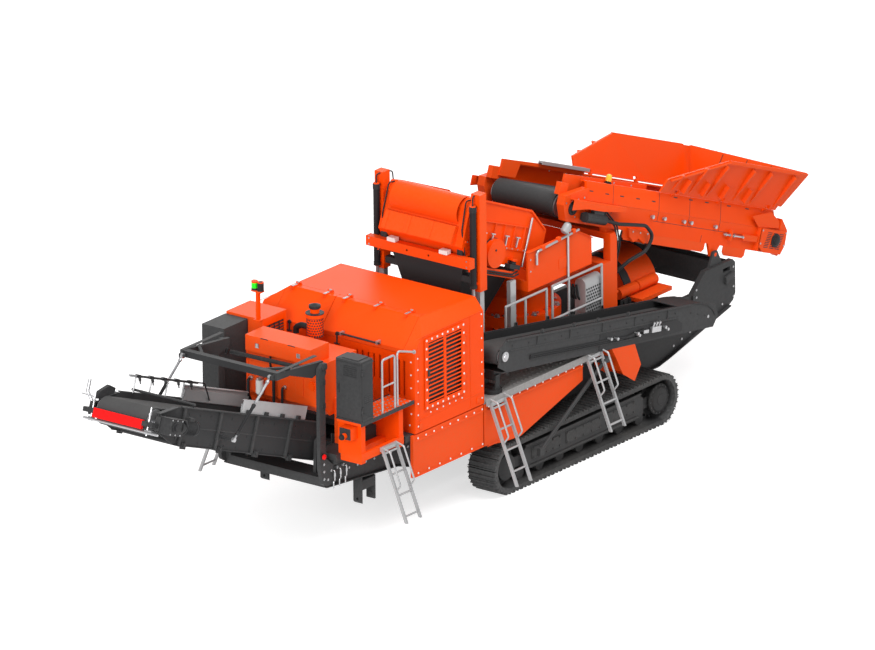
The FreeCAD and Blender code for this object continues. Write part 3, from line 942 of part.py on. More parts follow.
# Hopper walls, hinged on the conveyor's top edges
WALL_HIGH = 1080.0
FLARE = 290.0
RIM_FRONT = -1896.0
LEAN_BACK = 187.0
GUSSETS = (-2850, -2400, -1950, -1250, -800, -180)


def side_wall():
    """Near wall: a flared plate with a rim and gussets outside, cut to its outline in side view."""
    lean = math.atan2(FLARE, WALL_HIGH - WALL_LOW)
    back_y = -WALL_THICK * math.cos(lean)
    back_z = -WALL_THICK * math.sin(lean)
    foot = (-HINGE_Y, WALL_LOW)
    tip = (-HINGE_Y - FLARE, WALL_HIGH)
    section = [foot, tip, (tip[0] + back_y, tip[1] + back_z), (foot[0] + back_y, foot[1] + back_z)]
    x_end = REAR_AT - MOVE_GAP
    sheet = end_prism(section, WALL_FRONT, x_end)
    outline = side_prism([(WALL_FRONT, FEED_TOP), (x_end, FEED_TOP), (x_end, WALL_HIGH), (RIM_FRONT, WALL_HIGH),
                          (WALL_FRONT, WALL_LOW + 200)], -2000, 0)
    pieces = [sheet.common(outline)]
    for x in GUSSETS:
        pieces.append(end_prism([(foot[0] + 2 * back_y, foot[1] + 30), (tip[0] + 2 * back_y, tip[1] - 120),
                                 (tip[0] + 0.5 * back_y, tip[1] - 60), (foot[0] + 0.5 * back_y, foot[1] + 30)],
                                x, x + 40).common(outline))
    rim = end_prism([(tip[0] - 50, tip[1] - 50), (tip[0] - 50, tip[1]), tip, (tip[0] + back_y / 2, tip[1] - 50)],
                    RIM_FRONT, x_end)
    notches = [block(x - NOTCH, x + NOTCH, -HINGE_Y - 200, 0, WALL_LOW - 40, WALL_LOW + NOTCH) for x in SIDE_HINGES]
    pins = [hinge_pin((x, -HINGE_Y, WALL_LOW), ALONG, NOTCH + 20, FOLD_PIN_R) for x in SIDE_HINGES]
    return fused([cut_away(fused(pieces + [rim]), notches)] + pins)


near_wall = side_wall()
save("hopper_near", tilted([near_wall], FEED_TAIL, FEED_SLOPE))
save("hopper_far", tilted([near_wall.mirror(V(0, 0, 0), ACROSS)], FEED_TAIL, FEED_SLOPE))
rear_sheet = side_prism([(REAR_AT, WALL_LOW), (REAR_AT + WALL_THICK, WALL_LOW), (REAR_AT + LEAN_BACK + WALL_THICK, WALL_HIGH),
                         (REAR_AT + LEAN_BACK, WALL_HIGH)], -2000, 2000)
rear_shape = end_prism([(-HINGE_Y, WALL_LOW), (HINGE_Y, WALL_LOW), (HINGE_Y + FLARE, WALL_HIGH), (-HINGE_Y - FLARE, WALL_HIGH)],
                       -500, 500)
rear_notches = [block(REAR_AT - 20, REAR_AT + 100, y - NOTCH, y + NOTCH, WALL_LOW - 20, WALL_LOW + NOTCH) for y in REAR_HINGES]
rear_pins = [hinge_pin((REAR_AXIS_X, y, WALL_LOW), ACROSS, NOTCH + 20, FOLD_PIN_R) for y in REAR_HINGES]
rear_wall = fused([cut_away(rear_sheet.common(rear_shape), rear_notches)] + rear_pins)
save("hopper_rear", tilted([rear_wall], FEED_TAIL, FEED_SLOPE))

# Side conveyor, stowed along the near side on its slewing bracket
SLEW_X = -2050.0
SLEW_Y = -1270.0
TILT_Z = 1860.0
SIDE_HALF = 250.0
SIDE_SLOPE = 9.2
SIDE_TAIL_X = -62.0
SIDE_LENGTH = 5248.0
SIDE_R = 120.0
SIDE_UP = 250.0
bracket = fused([rod((SLEW_X, SLEW_Y, DECK_TOP + SEAT), (SLEW_X, SLEW_Y, DECK_TOP + 60), 150),
                 block(SLEW_X - 60, SLEW_X + 60, SLEW_Y - 110, SLEW_Y + 110, DECK_TOP + 60, DECK_TOP + 110)]
                + [block(SLEW_X - 50, SLEW_X + 50, SLEW_Y + y, SLEW_Y + y + 20, DECK_TOP + 100, TILT_Z + 45)
                   for y in (-110, 90)])
TILT_PIN_R = 22.0
bracket = bracket.cut(rod((SLEW_X, SLEW_Y - 200, TILT_Z), (SLEW_X, SLEW_Y + 200, TILT_Z), TILT_PIN_R + FIT))
save("side_bracket", [bracket])
SIDE_Z = 354.0
SIDE_AT = (SLEW_X, SLEW_Y, TILT_Z)
side_plate = side_prism([(SIDE_TAIL_X - 140, SIDE_Z - 150), (SIDE_TAIL_X - 140, SIDE_Z + 120), (SIDE_TAIL_X, SIDE_Z + SIDE_UP),
                         (SIDE_LENGTH - 700, SIDE_Z + SIDE_UP), (SIDE_LENGTH - 160, SIDE_Z + 180), (SIDE_LENGTH - 60, SIDE_Z),
                         (SIDE_LENGTH - 160, SIDE_Z - 170), (SIDE_TAIL_X + 100, SIDE_Z - SIDE_UP)], -SIDE_HALF, -SIDE_HALF + 14)
side_ties = [block(x - 40, x + 40, -SIDE_HALF, SIDE_HALF, SIDE_Z - 30, SIDE_Z + 10) for x in (300, 1300, 2300, 3300, 4200)]
side_lug = side_prism([(-70, SIDE_Z - SIDE_UP + 10), (150, SIDE_Z - SIDE_UP + 10), (60, -40), (-60, -40)], -82, 82)
side_pin = rod((0, -110, 0), (0, 110, 0), TILT_PIN_R)
side_floor = block(-100, 250, -SIDE_HALF, SIDE_HALF, SIDE_Z - SIDE_UP, SIDE_Z - SIDE_UP + 14)
side_frame = fused(pair(side_plate) + side_ties + [side_lug, side_pin, side_floor])
SIDE_HEAD_X = SIDE_LENGTH - 300
side_bores = [rod((x, -300, SIDE_Z), (x, 300, SIDE_Z), 24 + FIT) for x in (SIDE_TAIL_X, SIDE_HEAD_X)]
side_frame = cut_away(side_frame, side_bores)


def side_places(shapes):
    return tilted(shapes, SIDE_AT, SIDE_SLOPE)


save("side_frame", side_places([side_frame]))
side_belt = belt_loop(SIDE_TAIL_X, SIDE_HEAD_X, SIDE_R, SIDE_R, 200)
side_belt.translate(V(0, 0, SIDE_Z))
save("side_belt", side_places([side_belt]))
for name, x in (("side_tail_drum", SIDE_TAIL_X), ("side_head_drum", SIDE_HEAD_X)):
    roll = drum(x, SIDE_R, 215, SIDE_HALF - 2, 24)
    roll.translate(V(0, 0, SIDE_Z))
    save(name, side_places([roll]))
HOOD_X = 2598.0


def side_low(x):
    """Height of the side plates' lower edge."""
    share = (x - SIDE_TAIL_X - 100) / (SIDE_LENGTH - 160 - SIDE_TAIL_X - 100)
    return SIDE_Z - SIDE_UP + share * (SIDE_UP - 170)


hood_outer = side_prism([(HOOD_X, side_low(HOOD_X)), (HOOD_X + 560, side_low(HOOD_X + 560)), (HOOD_X + 760, SIDE_Z - 530),
                         (HOOD_X + 640, SIDE_Z - 770), (HOOD_X + 330, SIDE_Z - 630)], -SIDE_HALF, SIDE_HALF)
hood_inner = side_prism([(HOOD_X + 20, SIDE_Z - 170), (HOOD_X + 545, SIDE_Z - 170), (HOOD_X + 738, SIDE_Z - 530),
                         (HOOD_X + 634, SIDE_Z - 800), (HOOD_X + 345, SIDE_Z - 660)], -SIDE_HALF + 12, SIDE_HALF - 12)
side_hood = hood_outer.cut(hood_inner)
save("side_hood", side_places([side_hood]))
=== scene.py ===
import math
import json

import bmesh
import bpy
from mathutils import Matrix, Vector


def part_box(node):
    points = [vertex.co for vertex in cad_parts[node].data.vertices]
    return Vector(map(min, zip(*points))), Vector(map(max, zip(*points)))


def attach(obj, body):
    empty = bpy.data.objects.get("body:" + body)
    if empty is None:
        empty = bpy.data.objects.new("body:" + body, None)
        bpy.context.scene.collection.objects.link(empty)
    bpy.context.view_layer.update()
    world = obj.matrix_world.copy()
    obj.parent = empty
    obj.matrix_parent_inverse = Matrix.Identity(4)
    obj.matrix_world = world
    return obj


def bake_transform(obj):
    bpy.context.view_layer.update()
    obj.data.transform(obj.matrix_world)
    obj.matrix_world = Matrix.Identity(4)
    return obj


# The machine as it was built: every solid of the crusher, on the bodies that it moves with.
# Lengths are metres from the middle of the tracks, and the frame says where that middle lies.
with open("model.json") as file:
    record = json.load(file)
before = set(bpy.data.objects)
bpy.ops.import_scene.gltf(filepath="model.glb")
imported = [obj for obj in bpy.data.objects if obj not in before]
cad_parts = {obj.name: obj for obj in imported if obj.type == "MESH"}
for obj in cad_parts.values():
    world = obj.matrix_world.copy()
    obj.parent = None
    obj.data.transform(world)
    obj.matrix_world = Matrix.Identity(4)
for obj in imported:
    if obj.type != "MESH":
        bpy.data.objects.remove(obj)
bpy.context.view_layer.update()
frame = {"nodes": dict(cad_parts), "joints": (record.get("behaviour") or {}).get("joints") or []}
joint = {row["name"]: row for row in frame["joints"]}
track_low, track_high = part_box("track_near")
MIDDLE = Matrix.Translation(((track_low.x + track_high.x) / 2, 0, 0))

# The studio: a pale floor, a white backdrop that only the camera sees, a large soft lamp over the machine,
# another before the discharge end and a weak one behind the hopper.
PHOTO_WIDE = 875
PIXELS_PER_METRE = 68.0
FAR_AWAY = 400.0
SENSOR_WIDE = 36.0
LOOK_RIGHT = Vector((0.6087, -0.7933, -0.0099))
LOOK_UP = Vector((0.2718, 0.1969, 0.942))
LOOK_BACK = LOOK_RIGHT.cross(LOOK_UP)
NEARER = 1.27
aim = MIDDLE @ (LOOK_RIGHT * -1.038 + LOOK_UP * 1.706 + LOOK_BACK * NEARER)
camera_data = bpy.data.cameras.new("photo_camera")
camera_data.sensor_width = SENSOR_WIDE
camera_data.lens = SENSOR_WIDE * PIXELS_PER_METRE * FAR_AWAY / PHOTO_WIDE
camera_data.clip_start = 10.0
camera_data.clip_end = 2000.0
camera = bpy.data.objects.new("photo_camera", camera_data)
turn = Matrix((LOOK_RIGHT, LOOK_UP, LOOK_BACK)).transposed()
camera.matrix_world = Matrix.Translation(aim + LOOK_BACK * FAR_AWAY) @ turn.to_4x4()
scene = bpy.context.scene
scene.collection.objects.link(camera)
scene.camera = camera
scene.view_settings.view_transform = "Standard"


def softbox(name, where, at, width, power):
    """A square lamp that hangs at one place and shines at another."""
    lamp = bpy.data.lights.new(name, "AREA")
    lamp.size = width
    lamp.energy = power
    piece = bpy.data.objects.new(name, lamp)
    piece.location = where
    piece.rotation_euler = (Vector(where) - Vector(at)).to_track_quat("Z", "Y").to_euler()
    scene.collection.objects.link(piece)


softbox("lamp_over", (2.0, -9.0, 20.0), (0.5, 0, 1.5), 14.0, 3500.0)
softbox("lamp_front", (-22.0, -6.0, 9.0), (-3.0, 0, 2.0), 10.0, 3600.0)
softbox("lamp_rear", (16.0, 12.0, 9.0), (3.0, 0, 2.0), 12.0, 800.0)


def maths(tree, operation, *values):
    """A maths node's result; each value is a number or another node's output."""
    node = tree.nodes.new("ShaderNodeMath")
    node.operation = operation
    for place, value in zip(node.inputs, values):
        if isinstance(value, bpy.types.NodeSocket):
            tree.links.new(value, place)
        else:
            place.default_value = value
    return node.outputs[0]


SKY_STRENGTH = 0.68
BACKDROP_STRENGTH = 1.0
world = bpy.data.worlds.new("studio")
world.use_nodes = True
scene.world = world
sky = world.node_tree
sky.nodes.clear()
sky_out = sky.nodes.new("ShaderNodeOutputWorld")
sky_mix = sky.nodes.new("ShaderNodeMixShader")
for place, strength in ((1, SKY_STRENGTH), (2, BACKDROP_STRENGTH)):
    shade = sky.nodes.new("ShaderNodeBackground")
    shade.inputs["Color"].default_value = (1.0, 1.0, 1.0, 1)
    shade.inputs["Strength"].default_value = strength
    sky.links.new(shade.outputs[0], sky_mix.inputs[place])
sky_path = sky.nodes.new("ShaderNodeLightPath").outputs
sky_seen = maths(sky, "MAXIMUM", sky_path["Is Camera Ray"], sky_path["Is Transmission Ray"])
sky.links.new(sky_seen, sky_mix.inputs[0])
sky.links.new(sky_mix.outputs[0], sky_out.inputs["Surface"])

FLOOR_HALF = 60.0
FLOOR_GREY = 0.62
FLOOR_GLOW = 0.62
floor_mesh = bpy.data.meshes.new("studio_floor")
floor_mesh.from_pydata([(-FLOOR_HALF, -FLOOR_HALF, 0), (FLOOR_HALF, -FLOOR_HALF, 0),
                        (FLOOR_HALF, FLOOR_HALF, 0),
                        (-FLOOR_HALF, FLOOR_HALF, 0)], [], [(0, 1, 2, 3)])
studio_floor = bpy.data.objects.new("studio_floor", floor_mesh)
scene.collection.objects.link(studio_floor)
floor_paint = bpy.data.materials.new("studio_floor")
floor_paint.use_nodes = True
floor_tree = floor_paint.node_tree
floor_shader = floor_tree.nodes["Principled BSDF"]
floor_shader.inputs["Base Color"].default_value = (FLOOR_GREY, FLOOR_GREY, FLOOR_GREY, 1)
floor_shader.inputs["Roughness"].default_value = 0.9
floor_shader.inputs["Specular IOR Level"].default_value = 0.0
floor_path = floor_tree.nodes.new("ShaderNodeLightPath").outputs
floor_seen = maths(floor_tree, "MAXIMUM", floor_path["Is Camera Ray"], floor_path["Is Glossy Ray"])
floor_glow = floor_tree.nodes.new("ShaderNodeEmission")
floor_glow.inputs["Color"].default_value = (1.0, 1.0, 1.0, 1)
floor_tree.links.new(maths(floor_tree, "MULTIPLY", floor_seen, FLOOR_GLOW), floor_glow.inputs["Strength"])
floor_sum = floor_tree.nodes.new("ShaderNodeAddShader")
floor_tree.links.new(floor_shader.outputs[0], floor_sum.inputs[0])
floor_tree.links.new(floor_glow.outputs[0], floor_sum.inputs[1])
floor_tree.links.new(floor_sum.outputs[0], floor_tree.nodes["Material Output"].inputs["Surface"])
floor_mesh.materials.append(floor_paint)

# Paint and metal. Enamel is sprayed over the steel before assembly: its colour drifts a little from panel
# to panel, edges are rubbed thin, and pale quarry dust gathers low down and on faces that look up.


def new_tree(name, kind, wanted):
    """A node group whose inputs and outputs come from a list of (direction, name, socket type, value)."""
    tree = bpy.data.node_groups.new(name, kind)
    for direction, label, socket_type, value in wanted:
        socket = tree.interface.new_socket(name=label, in_out=direction, socket_type=socket_type)
        if value is not None:
            socket.default_value = value
    return tree


def wire(tree, source, target):
    tree.links.new(source, target)


WEATHER = new_tree("weathered_coat", "ShaderNodeTree", [
    ("INPUT", "Colour", "NodeSocketColor", (0.8, 0.1, 0.02, 1)),
    ("INPUT", "Rubbed Colour", "NodeSocketColor", (0.3, 0.3, 0.3, 1)),
    ("INPUT", "Dust Colour", "NodeSocketColor", (0.42, 0.38, 0.33, 1)),
    ("INPUT", "Rubbed", "NodeSocketFloat", 0.3),
    ("INPUT", "Dust", "NodeSocketFloat", 0.2),
    ("INPUT", "Roughness", "NodeSocketFloat", 0.4),
    ("INPUT", "Drift", "NodeSocketFloat", 0.06),
    ("OUTPUT", "Colour", "NodeSocketColor", None),
    ("OUTPUT", "Roughness", "NodeSocketFloat", None),
    ("OUTPUT", "Height", "NodeSocketFloat", None)])


def mapped(tree, value, low, high, top=1.0):
    """Spreads what lies between low and high over 0 to top."""
    node = tree.nodes.new("ShaderNodeMapRange")
    node.inputs["From Min"].default_value = low
    node.inputs["From Max"].default_value = high
    node.inputs["To Max"].default_value = top
    wire(tree, value, node.inputs["Value"])
    return node.outputs[0]


def clouds(tree, where, scale, detail):
    """Soft noise over a piece's own places."""
    node = tree.nodes.new("ShaderNodeTexNoise")
    node.inputs["Scale"].default_value = scale
    node.inputs["Detail"].default_value = detail
    wire(tree, where, node.inputs["Vector"])
    return node.outputs["Fac"]


def upright(tree, vector):
    """The part of a vector that points up."""
    node = tree.nodes.new("ShaderNodeSeparateXYZ")
    wire(tree, vector, node.inputs[0])
    return node.outputs["Z"]


def mixed(tree, share, first, second):
    """Two colours mixed by a share."""
    node = tree.nodes.new("ShaderNodeMix")
    node.data_type = "RGBA"
    for place, value in ((0, share), (6, first), (7, second)):
        wire(tree, value, node.inputs[place])
    return node.outputs[2]


def build_weather(tree):
    """Colour, roughness and height of a coat: tint that drifts, edges rubbed thin, dust that settles."""
    given = tree.nodes.new("NodeGroupInput").outputs
    result = tree.nodes.new("NodeGroupOutput").inputs
    where = tree.nodes.new("ShaderNodeTexCoord").outputs["Object"]
    shape = tree.nodes.new("ShaderNodeNewGeometry").outputs
    cloud = clouds(tree, where, 0.9, 5.0)
    speck = clouds(tree, where, 26.0, 6.0)
    edge = mapped(tree, shape["Pointiness"], 0.53, 0.62)
    rubbed = maths(tree, "MULTIPLY", maths(tree, "MULTIPLY", edge, speck), given["Rubbed"])
    low = mapped(tree, upright(tree, where), 1.9, 0.1)
    facing_up = mapped(tree, upright(tree, shape["Normal"]), 0.5, 1.0, 0.55)
    settled = maths(tree, "MAXIMUM", low, facing_up)
    patchy = mapped(tree, cloud, 0.38, 0.68)
    dusty = maths(tree, "MULTIPLY", maths(tree, "MULTIPLY", settled, patchy), given["Dust"])
    centred = maths(tree, "SUBTRACT", cloud, 0.5)
    tint = tree.nodes.new("ShaderNodeVectorMath")
    tint.operation = "SCALE"
    wire(tree, given["Colour"], tint.inputs[0])
    wire(tree, maths(tree, "MULTIPLY_ADD", centred, given["Drift"], 1.0), tint.inputs["Scale"])
    worn = mixed(tree, rubbed, tint.outputs[0], given["Rubbed Colour"])
    wire(tree, mixed(tree, dusty, worn, given["Dust Colour"]), result["Colour"])
    rougher = maths(tree, "MULTIPLY_ADD", dusty, 0.5, given["Roughness"])
    wire(tree, maths(tree, "MULTIPLY_ADD", centred, 0.12, rougher), result["Roughness"])
    wire(tree, speck, result["Height"])


build_weather(WEATHER)
BUMP_STRENGTH = 0.2


def finish(name, colour, roughness, rubbed_colour, rubbed, dust, drift=0.06, metallic=0.0, gloss=0.16,
           ripple=0.0004):
    """One finish of the machine: the weathered coat over paint, rubber or bare metal."""
    coating = bpy.data.materials.new(name)
    coating.use_nodes = True
    tree = coating.node_tree
    shader = tree.nodes["Principled BSDF"]
    weather = tree.nodes.new("ShaderNodeGroup")
    weather.node_tree = WEATHER
    weather.inputs["Colour"].default_value = (*colour, 1)
    weather.inputs["Rubbed Colour"].default_value = (*rubbed_colour, 1)
    weather.inputs["Rubbed"].default_value = rubbed
    weather.inputs["Dust"].default_value = dust
    weather.inputs["Roughness"].default_value = roughness
    weather.inputs["Drift"].default_value = drift
    wire(tree, weather.outputs["Colour"], shader.inputs["Base Color"])
    wire(tree, weather.outputs["Roughness"], shader.inputs["Roughness"])
    bump = tree.nodes.new("ShaderNodeBump")
    bump.inputs["Strength"].default_value = BUMP_STRENGTH
    bump.inputs["Distance"].default_value = ripple
    wire(tree, weather.outputs["Height"], bump.inputs["Height"])
    wire(tree, bump.outputs["Normal"], shader.inputs["Normal"])
    shader.inputs["Metallic"].default_value = metallic
    shader.inputs["Specular IOR Level"].default_value = gloss
    return coating


BARE = (0.52, 0.51, 0.50)
orange_enamel = finish("orange_enamel", (0.80, 0.060, 0.0010), 0.42, (0.50, 0.12, 0.04), 0.4, 0.015,
                       gloss=0.08)
charcoal_enamel = finish("charcoal_enamel", (0.030, 0.030, 0.031), 0.5, (0.12, 0.12, 0.12), 0.30, 0.02,
                         gloss=0.12)
black_casting = finish("black_casting", (0.014, 0.014, 0.015), 0.5, (0.10, 0.10, 0.10), 0.4, 0.04)
track_steel = finish("track_steel", (0.018, 0.018, 0.019), 0.6, (0.20, 0.20, 0.20), 0.5, 0.06, ripple=0.002)
belt_rubber = finish("belt_rubber", (0.040, 0.040, 0.041), 0.75, (0.07, 0.07, 0.07), 0.4, 0.08,
                     ripple=0.001)
galvanised = finish("galvanised_steel", (0.36, 0.36, 0.365), 0.42, (0.55, 0.55, 0.55), 0.3, 0.05,
                    drift=0.25, metallic=0.4)
bright_steel = finish("bright_steel", (0.40, 0.40, 0.41), 0.32, (0.6, 0.6, 0.6), 0.2, 0.03, metallic=0.8)
deck_grey = finish("deck_grey", (0.21, 0.20, 0.195), 0.6, BARE, 0.4, 0.08)
scraper_red = finish("scraper_red", (0.66, 0.002, 0.002), 0.45, (0.4, 0.02, 0.02), 0.3, 0.03)
hose_rubber = finish("hose_rubber", (0.018, 0.018, 0.019), 0.5, (0.06, 0.06, 0.06), 0.2, 0.04)
white_enamel = finish("white_enamel", (0.72, 0.71, 0.69), 0.4, BARE, 0.3, 0.05)
amber_glow = finish("amber_lens", (0.95, 0.42, 0.02), 0.2, (0.9, 0.5, 0.1), 0.0, 0.02, gloss=0.5)
green_glow = finish("green_lens", (0.01, 0.85, 0.01), 0.2, (0.1, 0.9, 0.1), 0.0, 0.02, gloss=0.5)

CAD_FINISH = [
    (orange_enamel, "canopy_shell roof_lid_near roof_lid_far grille_door hydraulic_tank tool_box "
                    "tool_box_lid cooler_housing air_cleaner beacon_mast step_frame aprons crusher_body "
                    "crusher_hopper pulley_guard conveyor_stand screen_frame screen_box feed_frame "
                    "hopper_near hopper_far hopper_rear side_hood"),
    (charcoal_enamel, "chassis_rails cross_members front_legs power_base cabinets cabinet_door gantry_posts "
                      "gantry_arms main_frame tail_conveyor fines_chute side_bracket side_frame track_frames"),
    (track_steel, "track_near track_far"),
    (belt_rubber, "main_belt feed_belt side_belt"),
    (bright_steel, "main_head_drum main_tail_drum feed_head_drum feed_tail_drum side_tail_drum "
                   "side_head_drum lift_links"),
    (galvanised, "handrails ladders main_skirts screen_legs crusher_guard"),
    (deck_grey, "decks"),
    (scraper_red, "main_scraper"),
    (black_casting, "engine_block feed_motor drive_pulley"),
]
for coating, nodes in CAD_FINISH:
    for node in nodes.split():
        mesh = frame["nodes"][node].data
        mesh.materials.clear()
        mesh.materials.append(coating)

# Sheet metal, tube and bolts for the trim. Trim is cut and folded plate, bent tube and hex bolts, welded
# or screwed onto the solids that the frame brings; each piece of it is one mesh, and all but the feed motor's
# hoses sit on one body.

SHARP_ANGLE = math.radians(32)
BEVEL_ANGLE = 0.9
TO_NEAR = (0, -1, 0)
TO_FRONT = (-1, 0, 0)
UPWARD = (0, 0, 1)


class Trim:
    """Plates, blocks, tubes and turned shapes gathered into one mesh, at a place of its own."""

    def __init__(self, place=MIDDLE):
        self.mesh = bmesh.new()
        self.place = place

    def block(self, x0, x1, y0, y1, z0, z1):
        self.plate([(x0, z0), (x1, z0), (x1, z1), (x0, z1)], "xz", y0, y1)

    def plate(self, outline, plane, a, b):
        """A flat outline given a thickness; plane names its two axes, a and b its faces on the third."""
        spots = {"xz": lambda p, t: (p[0], t, p[1]), "yz": lambda p, t: (t, p[0], p[1]),
                 "xy": lambda p, t: (p[0], p[1], t)}
        spot = spots[plane]
        self.sheet([spot(p, a) for p in outline], [spot(p, b) for p in outline])

    def sheet(self, near, far):
        """A solid between two outlines with as many corners."""
        near = [self.mesh.verts.new(spot) for spot in near]
        far = [self.mesh.verts.new(spot) for spot in far]
        faces = [self.mesh.faces.new(near), self.mesh.faces.new(far)]
        for i in range(len(near)):
            j = (i + 1) % len(near)
            faces.append(self.mesh.faces.new((near[i], near[j], far[j], far[i])))
        bmesh.ops.recalc_face_normals(self.mesh, faces=faces)

    def circle(self, centre, side, up, radius, sides):
        """A round row of corners."""
        turns = [2 * math.pi * k / sides for k in range(sides)]
        return [self.mesh.verts.new(centre + side * radius * math.cos(t) + up * radius * math.sin(t))
                for t in turns]

    def skin(self, rings):
        """Joins each round row to the next and closes both ends."""
        for a, b in zip(rings, rings[1:]):
            for k in range(len(a)):
                m = (k + 1) % len(a)
                self.mesh.faces.new((a[k], a[m], b[m], b[k]))
        self.mesh.faces.new(list(reversed(rings[0])))
        self.mesh.faces.new(rings[-1])

    def tube(self, points, radius, sides=10):
        """A round tube through points, mitred at each."""
        points = [Vector(p) for p in points]
        side = (points[1] - points[0]).normalized().orthogonal().normalized()
        rings = []
        for i, point in enumerate(points):
            last = i == len(points) - 1
            after = (point - points[i - 1] if last else points[i + 1] - point).normalized()
            before = (point - points[i - 1]).normalized() if i else after
            across = (before + after).normalized()
            side = (side - across * side.dot(across)).normalized()
            rings.append(self.circle(point, side, across.cross(side), radius, sides))
        self.skin(rings)

    def turned(self, profile, start, direction, sides=24):
        """A turned shape: profile is (distance along, radius) pairs from start."""
        start = Vector(start)
        along = Vector(direction).normalized()
        side = along.orthogonal().normalized()
        self.skin([self.circle(start + along * distance, side, along.cross(side), radius, sides)
                   for distance, radius in profile])

    def both_sides(self):
        """Adds the mirror image of all that is in it so far, across the machine's middle plane."""
        source = list(self.mesh.verts) + list(self.mesh.edges) + list(self.mesh.faces)
        copied = bmesh.ops.duplicate(self.mesh, geom=source)["geom"]
        verts = [part for part in copied if isinstance(part, bmesh.types.BMVert)]
        faces = [part for part in copied if isinstance(part, bmesh.types.BMFace)]
        for vert in verts:
            vert.co.y = -vert.co.y
        bmesh.ops.reverse_faces(self.mesh, faces=faces)

    def fit(self, name, body, coating, bevel=0.0):
        """Ends the piece: bevelled, put in place, given its finish and its body."""
        data = bpy.data.meshes.new(name)
        self.mesh.transform(self.place)
        if bevel:
            sharp = [edge for edge in self.mesh.edges
                     if len(edge.link_faces) == 2 and edge.calc_face_angle(0) > BEVEL_ANGLE]
            bmesh.ops.bevel(self.mesh, geom=sharp, offset=bevel, segments=1, affect="EDGES",
                            clamp_overlap=True)
        self.mesh.to_mesh(data)
        self.mesh.free()
        data.shade_smooth()
        data.set_sharp_from_angle(angle=SHARP_ANGLE)
        data.materials.append(coating)
        piece = bpy.data.objects.new(name, data)
        scene.collection.objects.link(piece)
        if body:
            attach(piece, body)
        return piece


def bent(points, radius, steps=5):
    """A tube's centre line with its corners bent to a radius, as a tube bender makes it."""
    points = [Vector(p) for p in points]
    line = [points[0]]
    for before, corner, after in zip(points, points[1:], points[2:]):
        into = (before - corner).normalized()
        out = (after - corner).normalized()
        angle = into.angle(out)
        reach = min(radius / math.tan(angle / 2), 0.48 * (before - corner).length,
                    0.48 * (after - corner).length)
        for k in range(steps + 1):
            t = k / steps
            a = corner + into * reach
            b = corner + out * reach
            line.append(a * (1 - t) ** 2 + corner * 2 * t * (1 - t) + b * t ** 2)
    line.append(points[-1])
    return line


BOLTS = new_tree("bolt_heads", "GeometryNodeTree", [
    ("INPUT", "Places", "NodeSocketGeometry", None),
    ("INPUT", "Across", "NodeSocketFloat", 0.024),
    ("INPUT", "Tall", "NodeSocketFloat", 0.012),
    ("INPUT", "Washer", "NodeSocketFloat", 0.018),
    ("INPUT", "Finish", "NodeSocketMaterial", None),
    ("OUTPUT", "Bolts", "NodeSocketGeometry", None)])


def build_bolts(tree):
    make = tree.nodes.new
    given = make("NodeGroupInput")
    result = make("NodeGroupOutput")
    head = make("GeometryNodeMeshCylinder")
    head.inputs["Vertices"].default_value = 6
    half = maths(tree, "MULTIPLY", given.outputs["Across"], 0.5)
    wire(tree, half, head.inputs["Radius"])
    wire(tree, given.outputs["Tall"], head.inputs["Depth"])
    washer = make("GeometryNodeMeshCylinder")
    washer.inputs["Vertices"].default_value = 10
    wire(tree, given.outputs["Washer"], washer.inputs["Radius"])
    thin = maths(tree, "MULTIPLY", given.outputs["Tall"], 0.35)
    wire(tree, thin, washer.inputs["Depth"])
    joined = make("GeometryNodeJoinGeometry")
    wire(tree, head.outputs["Mesh"], joined.inputs[0])
    wire(tree, washer.outputs["Mesh"], joined.inputs[0])
    facing = make("GeometryNodeInputNamedAttribute")
    facing.data_type = "FLOAT_VECTOR"
    facing.inputs["Name"].default_value = "facing"
    turned = make("FunctionNodeAlignRotationToVector")
    turned.axis = "Z"
    wire(tree, facing.outputs["Attribute"], turned.inputs["Vector"])
    points = make("GeometryNodeMeshToPoints")
    wire(tree, given.outputs["Places"], points.inputs["Mesh"])
    placed = make("GeometryNodeInstanceOnPoints")
    wire(tree, points.outputs["Points"], placed.inputs["Points"])
    wire(tree, joined.outputs[0], placed.inputs["Instance"])
    wire(tree, turned.outputs["Rotation"], placed.inputs["Rotation"])
    real = make("GeometryNodeRealizeInstances")
    wire(tree, placed.outputs[0], real.inputs[0])
    coated = make("GeometryNodeSetMaterial")
    wire(tree, real.outputs[0], coated.inputs["Geometry"])
    wire(tree, given.outputs["Finish"], coated.inputs["Material"])
    wire(tree, coated.outputs[0], result.inputs["Bolts"])


build_bolts(BOLTS)


def made_by(tree, base, name, body, slot, **values):
    """Runs a Geometry Nodes tree on a base mesh and leaves its result as a plain piece on a body."""
    stand_in = bpy.data.objects.new(name + "_base", base)
    scene.collection.objects.link(stand_in)
    modifier = stand_in.modifiers.new("make", "NODES")
    modifier.node_group = tree
    for socket in tree.interface.items_tree:
        key = socket.name.lower().replace(" ", "_")
        if socket.in_out == "INPUT" and key in values:
            modifier[socket.identifier] = values[key]
    graph = bpy.context.evaluated_depsgraph_get()
    data = bpy.data.meshes.new_from_object(stand_in.evaluated_get(graph), depsgraph=graph)
    data.name = name
    bpy.data.objects.remove(stand_in)
    data.set_sharp_from_angle(angle=SHARP_ANGLE)
    piece = bpy.data.objects.new(name, data)
    scene.collection.objects.link(piece)
    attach(piece, body)
    return piece


